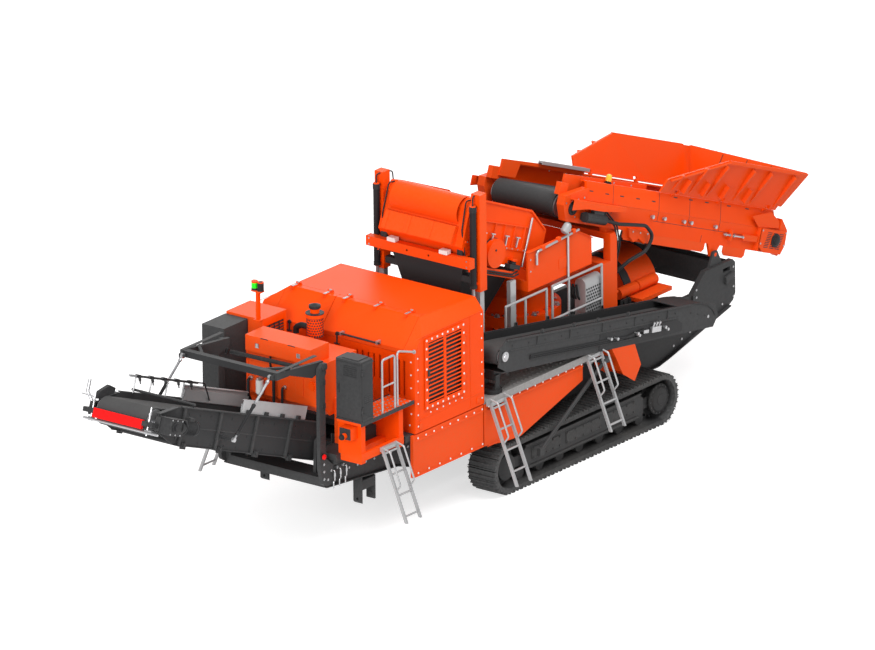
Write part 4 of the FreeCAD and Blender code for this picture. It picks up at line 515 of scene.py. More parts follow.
def bolts(name, body, rows, coating, slot, place=MIDDLE, across=0.021, mirrored=False):
    """Hex bolts in rows: (first place, last place, how many, way the heads face)."""
    spots = []
    ways = []
    for first, last, count, way in rows:
        for k in range(count):
            share = k / max(count - 1, 1)
            spot = Vector(first).lerp(Vector(last), share)
            facing = Vector(way)
            spots.append(place @ spot)
            ways.append(place.to_3x3() @ facing)
            if mirrored:
                spots.append(place @ Vector((spot.x, -spot.y, spot.z)))
                ways.append(place.to_3x3() @ Vector((facing.x, -facing.y, facing.z)))
    base = bpy.data.meshes.new(name)
    base.from_pydata([tuple(spot) for spot in spots], [], [])
    attribute = base.attributes.new("facing", "FLOAT_VECTOR", "POINT")
    attribute.data.foreach_set("vector", [value for way in ways for value in way])
    return made_by(BOLTS, base, name, body, slot, across=across, tall=across * 0.5, washer=across * 0.68,
                   finish=coating)

# Crawler tracks: cast shoes on sealed chain round a sprocket at the hopper end and an idler in front.
# The final drive's cover is bolted on outside, and plates close the side of each track frame.
TRACK_FACE = -1.385
DRIVE_X = 1.845
DRIVE_Z = 0.40


def ring(centre, way, radius, count, start=0.0):
    """Rows for bolts on a circle."""
    centre = Vector(centre)
    way = Vector(way).normalized()
    side = way.orthogonal().normalized()
    up = way.cross(side)
    rows = []
    for k in range(count):
        t = start + 2 * math.pi * k / count
        spot = centre + side * radius * math.cos(t) + up * radius * math.sin(t)
        rows.append((spot, spot, 1, way))
    return rows


drive = Trim()
drive.turned([(0, 0.235), (0.03, 0.235), (0.036, 0.19), (0.058, 0.18), (0.062, 0.09), (0.07, 0.08)],
             (DRIVE_X, TRACK_FACE + 0.03, DRIVE_Z), TO_NEAR, 36)
drive.turned([(0, 0.20), (0.035, 0.20), (0.05, 0.12), (0.055, 0.05)], (-DRIVE_X, -1.34, DRIVE_Z), TO_NEAR,
             32)
for x0, x1 in ((-1.25, -0.55), (-0.42, 0.42), (0.55, 1.25)):
    drive.plate([(x0, 0.36), (x1, 0.36), (x1, 0.54), (x0, 0.54)], "xz", -1.392, -1.378)
drive.block(-1.40, 1.40, -1.40, -1.375, 0.585, 0.625)
drive.block(-1.33, 1.33, -1.40, -1.375, 0.255, 0.285)
drive.both_sides()
drive.fit("track_covers", "root", black_casting, bevel=0.004)
cover_rows = ring((DRIVE_X, TRACK_FACE - 0.004, DRIVE_Z), TO_NEAR, 0.212, 16)
for x0, x1 in ((-1.22, -0.58), (-0.39, 0.39), (0.58, 1.22)):
    for z in (0.38, 0.52):
        cover_rows.append(((x0, -1.394, z), (x1, -1.394, z), 5, TO_NEAR))
bolts("track_cover_bolts", "root", cover_rows, black_casting, "track_steel", across=0.028, mirrored=True)

# Chassis: two deep side plates with a tapered nose and tail, burned from thick sheet. Small flanges stiffen
# their lower edges and a slotted guard closes the tail.
NOSE_X = -5.60
chassis = Trim()
for low, high in (((-3.90, 0.93), (-3.00, 0.64)), ((-3.00, 0.64), (2.42, 0.64)),
                  ((2.42, 0.64), (2.71, 0.70)),
                  ((2.71, 0.70), (4.21, 1.08)), ((NOSE_X, 1.09), (-3.90, 0.93))):
    chassis.plate([low, high, (high[0], high[1] + 0.02), (low[0], low[1] + 0.02)], "xz", -0.955, -0.90)
chassis.plate([(-5.45, 1.42), (-4.45, 1.42), (-4.45, 1.50), (-5.45, 1.50)], "xz", -0.99, -0.90)
chassis.plate([(4.11, 1.44), (4.30, 1.50), (4.30, 1.60), (4.11, 1.56)], "xz", -0.94, -0.90)
chassis.block(3.30, 3.36, -0.93, -0.90, 0.95, 1.50)
chassis.both_sides()
chassis.fit("chassis_flanges", "root", charcoal_enamel, bevel=0.004)
bolts("chassis_bolts", "root", [
    ((-5.40, -0.902, 1.25), (-3.2, -0.902, 1.12), 12, TO_NEAR),
    ((2.85, -0.902, 0.84), (4.05, -0.902, 1.15), 7, TO_NEAR),
    ((3.42, -0.902, 1.20), (3.42, -0.902, 1.55), 4, TO_NEAR),
    ((4.33, -0.902, 1.2), (4.33, -0.902, 1.66), 4, TO_NEAR),
    ((-4.90, -0.992, 1.46), (-4.50, -0.992, 1.46), 4, TO_NEAR)], bright_steel, "bare_steel", across=0.026,
    mirrored=True)

tail_guard = Trim()
tail_guard.block(4.385, 4.40, -0.78, 0.78, 1.24, 1.72)
for k in range(11):
    y = -0.70 + k * 0.14
    tail_guard.block(4.398, 4.408, y - 0.012, y + 0.012, 1.30, 1.66)
tail_guard.fit("tail_guard", "root", charcoal_enamel, bevel=0.003)

hooks = Trim()
for x in (-5.45, -5.31, -5.17):
    hooks.tube(bent([(x, -0.90, 1.33), (x, -0.985, 1.33), (x, -0.985, 1.18), (x - 0.03, -0.985, 1.16),
                     (x - 0.03, -0.985, 1.06)],
                    0.02, 3), 0.011, 8)
    hooks.turned([(0, 0.022), (0.03, 0.022)], (x, -0.90, 1.33), TO_NEAR, 12)
    hooks.turned([(0, 0.016), (0.05, 0.016)], (x, -0.985, 1.24), UPWARD, 10)
hooks.fit("tow_hooks", "root", bright_steel)

# Legs under the nose: two plates and a box each, pinned to lashings or feet through the holes near their ends.
legs = Trim()
for x in (-4.745, -4.435):
    legs.turned([(0, 0.042), (0.012, 0.042)], (x + (0.016 if x < -4.6 else -0.016), -0.86, 0.66),
                (1 if x < -4.6 else -1, 0, 0), 16)
legs.plate([(-4.73, 0.93), (-4.45, 0.93), (-4.45, 0.95), (-4.73, 0.95)], "xz", -0.945, -0.90)
legs.both_sides()
legs.fit("leg_trim", "root", charcoal_enamel, bevel=0.002)

# Discharge conveyor: folded side plates, a head drum with gearmotor, and a belt scraped by a red blade.
# Its frame is drawn level and then laid on its slope about the lift hinge.
DISCHARGE_SLOPE = math.radians(20.0)
discharge_at = Matrix.Translation(joint["conveyor_lift"]["pos_m"]) @ Matrix.Rotation(DISCHARGE_SLOPE, 4,
                                                                                     "Y")
HEAD_X = -3.884
SIDE_Y = -0.560
conveyor = Trim(discharge_at)
conveyor.plate([(-3.50, -0.02), (-0.10, -0.02), (-0.10, 0.0), (-3.50, 0.0)], "xz", SIDE_Y - 0.004, SIDE_Y)
conveyor.plate([(-3.45, 0.27), (0.04, 0.27), (0.04, 0.29), (-3.45, 0.29)], "xz", SIDE_Y - 0.045,
               SIDE_Y + 0.014)
for x in (-3.35, -2.45, -1.55, -0.70):
    conveyor.block(x - 0.025, x + 0.025, SIDE_Y - 0.03, SIDE_Y, -0.28, 0.27)
conveyor.plate([(-3.95, 0.152), (-3.554, 0.274), (-3.554, 0.262), (-3.95, 0.14)], "xz", SIDE_Y - 0.03,
               SIDE_Y + 0.05)
for x in (-3.44, -3.30):
    conveyor.block(x - 0.012, x + 0.012, SIDE_Y - 0.012, SIDE_Y, -0.20, -0.08)
conveyor.both_sides()
conveyor.fit("discharge_trim", "front_conveyor", charcoal_enamel, bevel=0.003)

discharge_rows = []
for x0, x1, z, count in ((-3.2, -0.3, 0.18, 12), (-3.2, -0.3, -0.22, 10), (-2.3, -1.7, -0.05, 3),
                         (-0.55, -0.15, 0.05, 3)):
    discharge_rows.append(((x0, SIDE_Y - 0.003, z), (x1, SIDE_Y - 0.003, z), count, TO_NEAR))
bolts("discharge_bolts", "front_conveyor", discharge_rows, black_casting, "black_parts", discharge_at,
      0.022, True)

idlers = Trim(discharge_at)
for k in range(9):
    x = -3.30 + k * 0.38
    idlers.turned([(0, 0.045), (0.86, 0.045)], (x, -0.43, 0.135), (0, 1, 0), 14)
    idlers.tube([(x, -0.545, 0.135), (x, 0.545, 0.135)], 0.012, 8)
for x in (-3.25, -2.35, -1.45, -0.6):
    for y in (-0.60, 0.60):
        idlers.block(x - 0.05, x + 0.05, min(y, y * 0.93), max(y, y * 0.93), -0.33, -0.24)
        idlers.turned([(0, 0.03), (0.03, 0.03)], (x, y * 0.97, -0.27), (0, y, 0), 12)
idlers.fit("discharge_idlers", "front_conveyor", black_casting)

gearmotor = Trim(discharge_at)
GEAR_Y = -0.65
gearmotor.block(-4.00, -3.70, -0.845, GEAR_Y, -0.125, 0.115)
gearmotor.plate([(-4.03, 0.125), (-3.66, 0.125), (-3.60, 0.05), (-3.60, 0.02), (-3.70, 0.115),
                 (-4.03, 0.115)], "xz", -0.87, GEAR_Y + 0.02)
gearmotor.turned([(0, 0.075), (0.02, 0.075), (0.022, 0.045), (0.045, 0.045)], (-3.884, -0.845, 0.0),
                 TO_NEAR, 20)
gearmotor.turned([(0, 0.12), (0.05, 0.12), (0.055, 0.095), (0.10, 0.095), (0.105, 0.115), (0.13, 0.115)],
                 (-3.72, -0.75, 0.01), (1, 0, 0), 24)
fins = []
for k in range(11):
    start = 0.14 + k * 0.022
    fins += [(start, 0.098), (start, 0.112), (start + 0.008, 0.112), (start + 0.008, 0.098)]
gearmotor.turned(fins + [(0.39, 0.10), (0.40, 0.115), (0.43, 0.112), (0.45, 0.07)], (-3.72, -0.75, 0.01),
                 (1, 0, 0), 24)
gearmotor.block(-3.50, -3.38, -0.80, -0.70, 0.09, 0.16)
gearmotor.fit("discharge_gearmotor", "front_conveyor", black_casting, bevel=0.004)
bolts("gearmotor_bolts", "front_conveyor", ring((-3.884, -0.847, 0.0), TO_NEAR, 0.06, 8)
      + [((-3.98, -0.846, z), (-3.74, -0.846, z), 3, TO_NEAR) for z in (-0.11, 0.10)], bright_steel,
      "bare_steel",
      discharge_at, 0.018)

bearing = Trim(discharge_at)
bearing.turned([(0, 0.08), (0.03, 0.08), (0.04, 0.05), (0.06, 0.05)], (HEAD_X, 0.65, 0.0), (0, 1, 0), 20)
bearing.block(HEAD_X - 0.10, HEAD_X + 0.10, 0.56, 0.66, -0.085, 0.085)
bearing.plate([(HEAD_X - 0.15, 0.14), (HEAD_X + 0.25, 0.20), (HEAD_X + 0.25, 0.33), (HEAD_X + 0.10, 0.36),
               (HEAD_X - 0.12, 0.25)],
              "xz", 0.52, 0.58)
bearing.fit("discharge_far_bearing", "front_conveyor", black_casting, bevel=0.004)

scraper = Trim(discharge_at)
SCRAPE_X = -4.132
for y in (-0.515, 0.515):
    scraper.tube([(SCRAPE_X + 0.03, y, -0.20), (SCRAPE_X + 0.03, y, 0.22)], 0.013, 10)
    scraper.turned([(0, 0.026), (0.03, 0.026), (0.03, 0.014), (0.06, 0.014)], (SCRAPE_X + 0.03, y, 0.10),
                   UPWARD, 6)
    scraper.block(SCRAPE_X, SCRAPE_X + 0.09, y - 0.03, y + 0.03, -0.18, -0.12)
scraper.tube([(SCRAPE_X, -0.74, -0.155), (SCRAPE_X, 0.62, -0.155)], 0.019, 12)
scraper.tube(bent([(SCRAPE_X + 0.09, 0.60, 0.10), (SCRAPE_X + 0.05, 0.68, 0.22),
                   (SCRAPE_X + 0.05, 0.68, 0.40)], 0.03, 3), 0.026, 12)
scraper.tube([(SCRAPE_X + 0.02, 0.52, 0.17), (SCRAPE_X + 0.08, 0.80, 0.17)], 0.010, 8)
scraper.fit("scraper_tensioners", "front_conveyor", bright_steel)
blade_bolts = [((-4.170, -0.40, -0.01), (-4.170, 0.40, -0.01), 7, TO_FRONT)]
bolts("scraper_bolts", "front_conveyor", blade_bolts, scraper_red, "red_paint", discharge_at, 0.03)

spray = Trim(discharge_at)
spray.block(-3.42, -1.72, 0.47, 0.50, 0.52, 0.555)
spray.block(-3.42, -1.72, 0.455, 0.50, 0.55, 0.556)
for x in (-3.25, -2.85, -2.45, -2.05):
    spray.tube([(x, 0.485, 0.29), (x, 0.485, 0.53)], 0.012, 8)
spray.fit("spray_rail", "front_conveyor", galvanised, bevel=0.002)
nozzles = Trim(discharge_at)
for k in range(5):
    x = -3.22 + k * 0.32
    nozzles.turned([(0, 0.022), (0.05, 0.022), (0.055, 0.012), (0.10, 0.010)], (x, 0.44, 0.53),
                   (0, -0.4, -1), 12)
    nozzles.block(x - 0.03, x + 0.03, 0.44, 0.505, 0.515, 0.565)
nozzles.tube(bent([(-3.22, 0.45, 0.545), (-1.60, 0.45, 0.545), (-1.45, 0.48, 0.42), (-1.30, 0.52, 0.30)],
                  0.05, 4), 0.011, 8)
nozzles.fit("spray_nozzles", "front_conveyor", hose_rubber)

skirts = Trim(discharge_at)
for side in (-1, 1):
    skirts.plate([(side * 0.540, 0.25), (side * 0.556, 0.25), (side * 0.556, 0.49), (side * 0.545, 0.49),
                  (side * 0.52, 0.478),
                  (side * 0.522, 0.468), (side * 0.545, 0.478)], "yz", -1.94, -0.36)
skirts.fit("discharge_skirt_plates", "front_conveyor", galvanised, bevel=0.002)
clamps = Trim(discharge_at)
for x in (-1.80, -1.35, -0.95, -0.55):
    clamps.block(x - 0.04, x + 0.04, -0.585, -0.535, 0.285, 0.34)
    clamps.block(x - 0.04, x + 0.04, 0.535, 0.585, 0.285, 0.34)
clamps.fit("skirt_clamps", "front_conveyor", black_casting, bevel=0.003)

# Gantry that lifts the conveyor: two arms on posts, joined by a cross bar, with thin threaded link rods.
gantry = Trim()
gantry.block(-6.66, -5.72, -0.895, -0.828, 3.155, 3.163)
gantry.turned([(0, 0.055), (0.02, 0.055), (0.024, 0.03), (0.035, 0.03)], (-5.64, -0.96, 2.98), TO_NEAR, 20)
gantry.both_sides()
gantry.fit("gantry_caps", "gantry", charcoal_enamel, bevel=0.002)

LINK_TOP = Vector((-6.72, -0.804, 3.10))
LINK_LOW = Vector((-7.59, -0.804, 2.39))
link_way = (LINK_LOW - LINK_TOP).normalized()
threads = []
for k in range(30):
    threads += [(0.10 + k * 0.012, 0.0175), (0.106 + k * 0.012, 0.022)]
links = Trim()
links.turned([(0.05, 0.02), (0.07, 0.028), (0.10, 0.028), (0.10, 0.0175)], LINK_TOP, link_way, 16)
links.turned(threads, LINK_TOP, link_way, 12)
links.both_sides()
links.fit("link_threads", "links", bright_steel)
sleeves = Trim()
sleeves.turned([(0.48, 0.02), (0.49, 0.031), (0.53, 0.031), (0.54, 0.025), (0.98, 0.025), (0.99, 0.033),
                (1.03, 0.033),
                (1.04, 0.02)], LINK_TOP, link_way, 16)
sleeves.both_sides()
sleeves.fit("link_sleeves", "links", black_casting)

posts = Trim()
posts.turned([(0, 0.048), (0.015, 0.048), (0.018, 0.028), (0.03, 0.028)], (-5.72, -0.96, 1.62), TO_NEAR, 20)
posts.plate([(-5.755, 1.82), (-5.625, 1.82), (-5.625, 1.94), (-5.755, 1.94)], "xz", -0.966, -0.958)
posts.block(-5.70, -5.62, -0.97, -0.955, 2.34, 2.42)
posts.block(-5.70, -5.62, -0.97, -0.955, 2.70, 2.78)
posts.fit("post_plates", "root", black_casting, bevel=0.003)
stops = Trim()
stops.turned([(0, 0.025), (0.01, 0.025), (0.012, 0.04), (0.03, 0.04), (0.045, 0.02)], (-5.72, -0.985, 1.62),
             TO_NEAR, 20)
stops.fit("stop_button", "root", scraper_red)
cross_tube = Trim()
cross_tube.tube([(-5.56, 0.83, 2.82), (-5.56, -0.83, 2.85)], 0.032, 14)
cross_tube.turned([(0, 0.05), (0.02, 0.05), (0.03, 0.034)], (-5.56, -0.895, 2.85), (0, 1, 0), 16)
cross_tube.turned([(0, 0.05), (0.02, 0.05), (0.03, 0.034)], (-5.56, 0.895, 2.82), TO_NEAR, 16)
cross_tube.fit("post_cross_tube", "root", black_casting)
bolts("post_bolts", "root", [((-5.67, -0.962, 1.25), (-5.67, -0.962, 1.48), 3, TO_NEAR),
                             ((-5.58, -0.962, 1.22), (-5.50, -0.962, 1.34), 2, TO_NEAR)],
      bright_steel, "bare_steel", across=0.03, mirrored=True)

# Hydraulic tank in front: folded sheet with a chamfered lower edge, suction hoses, a spin-on filter and a
# sight gauge on its front, and the tool box on top with two toggle latches.
tank = Trim()
for y in (-0.722, 0.714):
    tank.plate([(-5.335, 2.18), (-5.215, 2.055), (-4.56, 2.055), (-4.56, 2.09), (-5.20, 2.09),
                (-5.30, 2.195), (-5.30, 2.88),
                (-5.335, 2.88)], "xz", y, y + 0.008)
tank.block(-5.342, -5.33, -0.70, -0.68, 2.20, 2.86)
tank.block(-5.342, -5.33, 0.68, 0.70, 2.20, 2.86)
tank.block(-5.345, -5.33, -0.34, -0.20, 2.30, 2.62)
tank.turned([(0, 0.075), (0.012, 0.075), (0.014, 0.05), (0.03, 0.05)], (-5.33, -0.50, 2.50), TO_FRONT, 20)
tank.fit("tank_folds", "root", orange_enamel, bevel=0.003)
tank_hoses = Trim()
TANK_FACE = -5.33
for route, radius in (([(TANK_FACE, 0.62, 2.40), (-5.42, 0.62, 2.40), (-5.42, 0.62, 2.16),
                        (-5.30, 0.62, 1.92), (-5.05, 0.62, 1.80)], 0.024),
                      ([(TANK_FACE, 0.14, 2.50), (-5.43, 0.14, 2.50), (-5.43, 0.14, 2.14),
                        (-5.28, 0.14, 1.90), (-4.95, 0.14, 1.78)], 0.024),
                      ([(TANK_FACE, 0.00, 2.38), (-5.41, 0.00, 2.38), (-5.41, 0.00, 2.10),
                        (-5.28, 0.02, 1.88), (-4.95, 0.02, 1.78)], 0.020),
                      ([(TANK_FACE, 0.43, 2.32), (-5.42, 0.43, 2.32), (-5.42, 0.43, 2.08),
                        (-5.26, 0.43, 1.88), (-4.95, 0.43, 1.78)], 0.018),
                      ([(-5.36, 0.24, 2.87), (-5.38, 0.24, 2.76), (-5.38, 0.24, 2.66),
                        (TANK_FACE, 0.24, 2.62)], 0.015)):
    tank_hoses.tube(bent(route, 0.07), radius, 12)
tank_hoses.fit("tank_hoses", "root", hose_rubber)
fittings = Trim()
for y, z, radius in ((0.62, 2.40, 0.036), (0.14, 2.50, 0.036), (0.00, 2.38, 0.03), (0.43, 2.32, 0.028),
                     (0.24, 2.62, 0.024)):
    fittings.turned([(0, radius), (0.03, radius), (0.034, radius * 0.8), (0.06, radius * 0.8)],
                    (TANK_FACE, y, z), TO_FRONT, 6)
fittings.turned([(0, 0.045), (0.03, 0.045), (0.04, 0.03)], (-5.43, 0.40, 2.47), (0, 0, -1), 16)
fittings.tube([(TANK_FACE, 0.40, 2.455), (-5.43, 0.40, 2.455)], 0.025, 12)
fittings.fit("tank_fittings", "root", bright_steel)
filters = Trim()
filters.turned([(0, 0.03), (0.01, 0.058), (0.20, 0.058), (0.22, 0.045), (0.225, 0.02)], (-5.43, 0.40, 2.44),
               (0, 0, -1), 24)
filters.fit("tank_filter", "root", white_enamel)
latches = Trim()
for y in (-0.38, 0.38):
    latches.block(-5.512, -5.50, y - 0.03, y + 0.03, 2.955, 3.022)
    latches.tube([(-5.516, y - 0.022, 2.965), (-5.516, y - 0.022, 3.022)], 0.005, 6)
    latches.tube([(-5.516, y + 0.022, 2.965), (-5.516, y + 0.022, 3.022)], 0.005, 6)
latches.fit("tool_box_latches", "root", bright_steel, bevel=0.001)
handles = Trim()
for y in (-0.25, 0.25):
    handles.tube(bent([(-5.49, y - 0.06, 3.10), (-5.51, y - 0.06, 3.12), (-5.51, y + 0.06, 3.12),
                       (-5.49, y + 0.06, 3.10)], 0.015, 3), 0.007, 8)
handles.fit("tool_box_handles", "box_lid", black_casting)

# Air cleaner with its perforated shroud and rain cap, and the lamp mast with a dark and a green lamp.
CLEANER = Vector((-4.475, 0.11, 0))
shroud_rows = []
for row in range(7):
    z = 2.93 + row * 0.04
    for k in range(20):
        t = 2 * math.pi * (k + 0.5 * (row % 2)) / 20
        way = Vector((math.cos(t), math.sin(t), 0))
        spot = CLEANER + way * 0.1205 + Vector((0, 0, z))
        shroud_rows.append((spot, spot, 1, way))
bolts("cleaner_holes", "root", shroud_rows, black_casting, "black_parts", across=0.019)
cleaner = Trim()
for z in (2.905, 3.19, 3.255):
    cleaner.turned([(0, 0.125 if z < 3.2 else 0.139), (0.012, 0.125 if z < 3.2 else 0.139)],
                   CLEANER + Vector((0, 0, z)), UPWARD, 28)
cleaner.turned([(0, 0.075), (0.015, 0.09), (0.05, 0.09), (0.075, 0.02)], CLEANER + Vector((0, 0, 3.33)),
               UPWARD, 24)
cleaner.tube(bent([(-4.475, 0.20, 3.02), (-4.475, 0.36, 3.02), (-4.475, 0.46, 2.97), (-4.475, 0.46, 2.88)],
                  0.08), 0.045, 16)
cleaner.fit("cleaner_trim", "root", black_casting, bevel=0.002)
mast = Trim()
mast.turned([(0, 0.0495), (0.02, 0.0495), (0.03, 0.0485), (0.125, 0.0485), (0.14, 0.03)],
            (-4.90, 0.775, 3.582), UPWARD, 24)
mast.turned([(0, 0.0495), (0.03, 0.0495), (0.03, 0.046)], (-4.90, 0.885, 3.582), UPWARD, 24)
mast.tube(bent([(-4.87, 0.825, 3.56), (-4.86, 0.83, 3.48), (-4.868, 0.83, 3.2), (-4.868, 0.83, 3.14)],
               0.03), 0.008, 8)
mast.fit("mast_lamps", "root", black_casting)
green_lamp = Trim()
green_lamp.turned([(0, 0.0485), (0.08, 0.0485), (0.10, 0.035), (0.106, 0.01)], (-4.90, 0.885, 3.613),
                  UPWARD, 24)
green_lamp.fit("green_lamp", "root", green_glow)

# Cooler on the far side: its opening shows a fin core behind a bar guard.
cooler = Trim()
cooler.block(-4.80, -4.35, 0.802, 0.812, 2.30, 3.00)
for k in range(15):
    z = 2.33 + k * 0.046
    cooler.block(-4.80, -4.35, 0.784, 0.80, z - 0.006, z + 0.006)
for x in (-4.69, -4.575, -4.46):
    cooler.block(x - 0.006, x + 0.006, 0.778, 0.79, 2.30, 3.00)
cooler.fit("cooler_core", "root", black_casting)

# Walkway beside the tank: a step frame with a plank of studded grating, a grab rail, a low gate and the
# control box on the corner, with the grey cabinet's seams, latch and vents.
steps = Trim()
steps.tube(bent([(-4.54, -1.45, 2.16), (-4.54, -1.45, 3.01), (-4.16, -1.456, 2.89)], 0.06), 0.016, 10)
steps.tube(bent([(-4.90, -1.45, 2.13), (-4.90, -1.45, 2.97), (-4.60, -1.45, 2.97), (-4.60, -1.45, 2.13)],
                0.05), 0.016, 10)
steps.tube([(-4.90, -1.45, 2.55), (-4.60, -1.45, 2.55)], 0.014, 10)
steps.turned([(0, 0.03), (0.02, 0.03)], (-4.135, -1.456, 2.885), TO_FRONT, 12)
steps.fit("step_rails", "root", galvanised)
step_edges = Trim()
step_edges.block(-5.44, -4.18, -1.482, -1.47, 2.095, 2.155)
step_edges.block(-5.44, -4.18, -1.02, -1.01, 2.095, 2.155)
step_edges.turned([(0, 0.048), (0.01, 0.048), (0.014, 0.036), (0.035, 0.036)], (-5.635, -1.27, 1.96),
                  TO_FRONT, 20)
step_edges.block(-5.568, -5.558, -1.37, -1.17, 1.905, 2.075)
step_edges.fit("step_edges", "root", black_casting, bevel=0.002)
stud_rows = []
for k in range(5):
    y = -1.43 + k * 0.095
    stud_rows.append(((-5.38, y, 2.141), (-4.22, y, 2.141), 15, UPWARD))
bolts("step_studs", "root", stud_rows, galvanised, "galvanised", across=0.024)
tread = Trim()
tread.block(-5.40, -4.20, -1.468, -1.022, 2.130, 2.138)
tread.fit("step_tread", "root", deck_grey)
cabinet = Trim()
cabinet.block(-5.448, -5.44, -1.46, -1.04, 2.17, 2.18)
cabinet.block(-5.448, -5.44, -1.46, -1.04, 3.045, 3.055)
cabinet.block(-5.452, -5.44, -1.085, -1.055, 2.56, 2.70)
for k in range(6):
    cabinet.block(-5.447, -5.44, -1.40, -1.16, 2.84 + k * 0.03, 2.852 + k * 0.03)
cabinet.fit("cabinet_door_trim", "panel_door", black_casting, bevel=0.001)
case = Trim()
case.block(-5.41, -5.15, -1.486, -1.478, 3.03, 3.06)
case.block(-5.41, -5.15, -1.486, -1.478, 2.17, 2.20)
case.block(-5.40, -5.16, -1.40, -1.10, 3.09, 3.10)
for k in range(5):
    case.block(-5.36, -5.22, -1.485, -1.479, 2.42 + k * 0.03, 2.432 + k * 0.03)
case.fit("cabinet_case_trim", "root", charcoal_enamel, bevel=0.001)

# Engine canopy: sheet panels with a louvred door in a bolted frame, strap hinges on the roof lids, T-latches
# and a lifting bar on their front edges, and black sheets behind every slot so that the openings show dark.
for body, places in (("roof_lid_a", (-1.04, -0.47, 0.10)), ("roof_lid_b", (0.46, 1.05))):
    straps = Trim()
    for y in places:
        straps.block(-3.80, -3.655, y - 0.021, y + 0.021, 3.2842, 3.290)
        straps.turned([(-0.022, 0.019), (0.022, 0.019)], (-3.64, y, 3.292), (0, 1, 0), 14)
        for x in (-3.77, -3.72):
            straps.turned([(0, 0.009), (0.006, 0.008)], (x, y, 3.29), UPWARD, 6)
    straps.fit(body + "_hinges", body, bright_steel, bevel=0.0015)


def roof_latch(trim, y, low):
    """A T-handled latch on a roof lid's front edge, down to a height."""
    trim.tube([(-4.135, y, 2.90), (-4.14, y, low)], 0.011, 8)
    trim.tube([(-4.14, y - 0.045, low - 0.005), (-4.14, y + 0.045, low - 0.005)], 0.012, 8)
    trim.turned([(0, 0.03), (0.02, 0.03)], (-4.12, y, 2.865), TO_FRONT, 14)


lid_latches = Trim()
roof_latch(lid_latches, -0.03, 2.72)
lid_latches.tube([(-4.19, -0.10, 2.91), (-4.19, -0.85, 2.90)], 0.015, 10)
lid_latches.fit("near_lid_latch", "roof_lid_a", black_casting)
lid_brackets = Trim()
for y in (-0.14, -0.81):
    lid_brackets.block(-4.205, -4.115, y - 0.018, y + 0.018, 2.878, 2.93)
lid_brackets.fit("near_lid_brackets", "roof_lid_a", bright_steel, bevel=0.002)
far_latch = Trim()
roof_latch(far_latch, 0.85, 2.74)
far_latch.fit("far_lid_latch", "roof_lid_b", black_casting)

# Black sheets set behind the front slots and behind the louvred doors, so that these openings show dark.
slot_backs = Trim()
for y0, y1, z0, z1 in ((-1.31, -0.92, 2.14, 2.71), (-0.87, -0.32, 2.32, 2.71), (-0.21, 0.31, 2.32, 2.57)):
    slot_backs.block(-4.078, -4.07, y0, y1, z0, z1)
slot_backs.block(-3.89, -2.95, -1.408, -1.40, 1.90, 3.00)
slot_backs.block(-3.89, -2.95, 1.40, 1.408, 1.90, 3.00)
slot_backs.fit("duct_screens", "root", black_casting)
door_rows = []
for z in (1.935, 2.975):
    door_rows.append(((-3.86, -1.475, z), (-2.98, -1.475, z), 8, TO_NEAR))
for x in (-3.865, -2.975):
    door_rows.append(((x, -1.475, 2.06), (x, -1.475, 2.85), 6, TO_NEAR))
bolts("door_bolts", "side_door", door_rows, white_enamel, "galvanised", across=0.026)
door = Trim()
door.block(-3.845, -3.805, -1.492, -1.474, 2.42, 2.52)
door.tube(bent([(-3.825, -1.475, 2.30), (-3.825, -1.50, 2.30), (-3.825, -1.50, 2.38),
                (-3.825, -1.475, 2.38)], 0.012, 3), 0.006, 8)
door.fit("door_handle", "side_door", black_casting, bevel=0.002)
canopy = Trim()
canopy.block(-4.09, -2.49, -1.456, -1.45, 1.79, 1.80)
canopy.block(-4.09, -2.49, -1.456, -1.45, 3.05, 3.056)
canopy.block(-2.80, -2.79, -1.456, -1.45, 1.62, 3.04)
canopy.block(-4.03, -4.02, -1.456, -1.45, 1.62, 2.80)
for x in (-4.0, -2.62):
    canopy.block(x - 0.03, x + 0.03, -1.462, -1.45, 1.655, 1.735)
canopy.both_sides()
canopy.fit("canopy_seams", "root", orange_enamel, bevel=0.001)
bolts("canopy_bolts", "root", [((-4.05, -1.452, 1.70), (-4.05, -1.452, 2.75), 7, TO_NEAR),
                               ((-2.52, -1.452, 1.70), (-2.52, -1.452, 3.0), 8, TO_NEAR),
                               ((-3.75, -1.452, 1.84), (-3.0, -1.452, 1.84), 6, TO_NEAR)],
      white_enamel, "galvanised", across=0.020, mirrored=True)
bolts("canopy_front_bolts", "root", [((-4.122, -1.35, 1.72), (-4.122, 1.30, 1.72), 14, TO_FRONT),
                                     ((-4.122, -1.38, 1.9), (-4.122, -1.38, 2.7), 5, TO_FRONT)],
      white_enamel, "galvanised", across=0.020)

# Walkways: edge channels, studded planks, ladders with grab loops, clamps where the rails stand, and the
# hooks that hold the ladders on the aprons.
deck = Trim()
deck.block(-2.46, 0.23, -1.488, -1.478, 1.55, 1.655)
deck.block(-2.46, 0.23, -0.835, -0.825, 1.58, 1.655)
deck.both_sides()
deck.fit("deck_edges", "root", deck_grey, bevel=0.003)
deck_rows = []
for k in range(6):
    y = -1.43 + k * 0.105
    deck_rows.append(((-2.42, y, 1.621), (0.20, y, 1.621), 29, UPWARD))
bolts("deck_studs", "root", deck_rows, deck_grey, "grey_paint", across=0.034, mirrored=True)
aprons = Trim()
for x0, x1, z0 in ((-4.15, -2.53, 0.95), (-2.44, -2.10, 0.92)):
    aprons.block(x0, x1, -1.486, -1.48, 1.50, 1.51)
    aprons.block(x0, x1, -1.486, -1.48, z0, z0 + 0.01)
aprons.block(-2.44, -0.12, -1.486, -1.48, 1.50, 1.51)
aprons.both_sides()
aprons.fit("apron_seams", "root", orange_enamel)
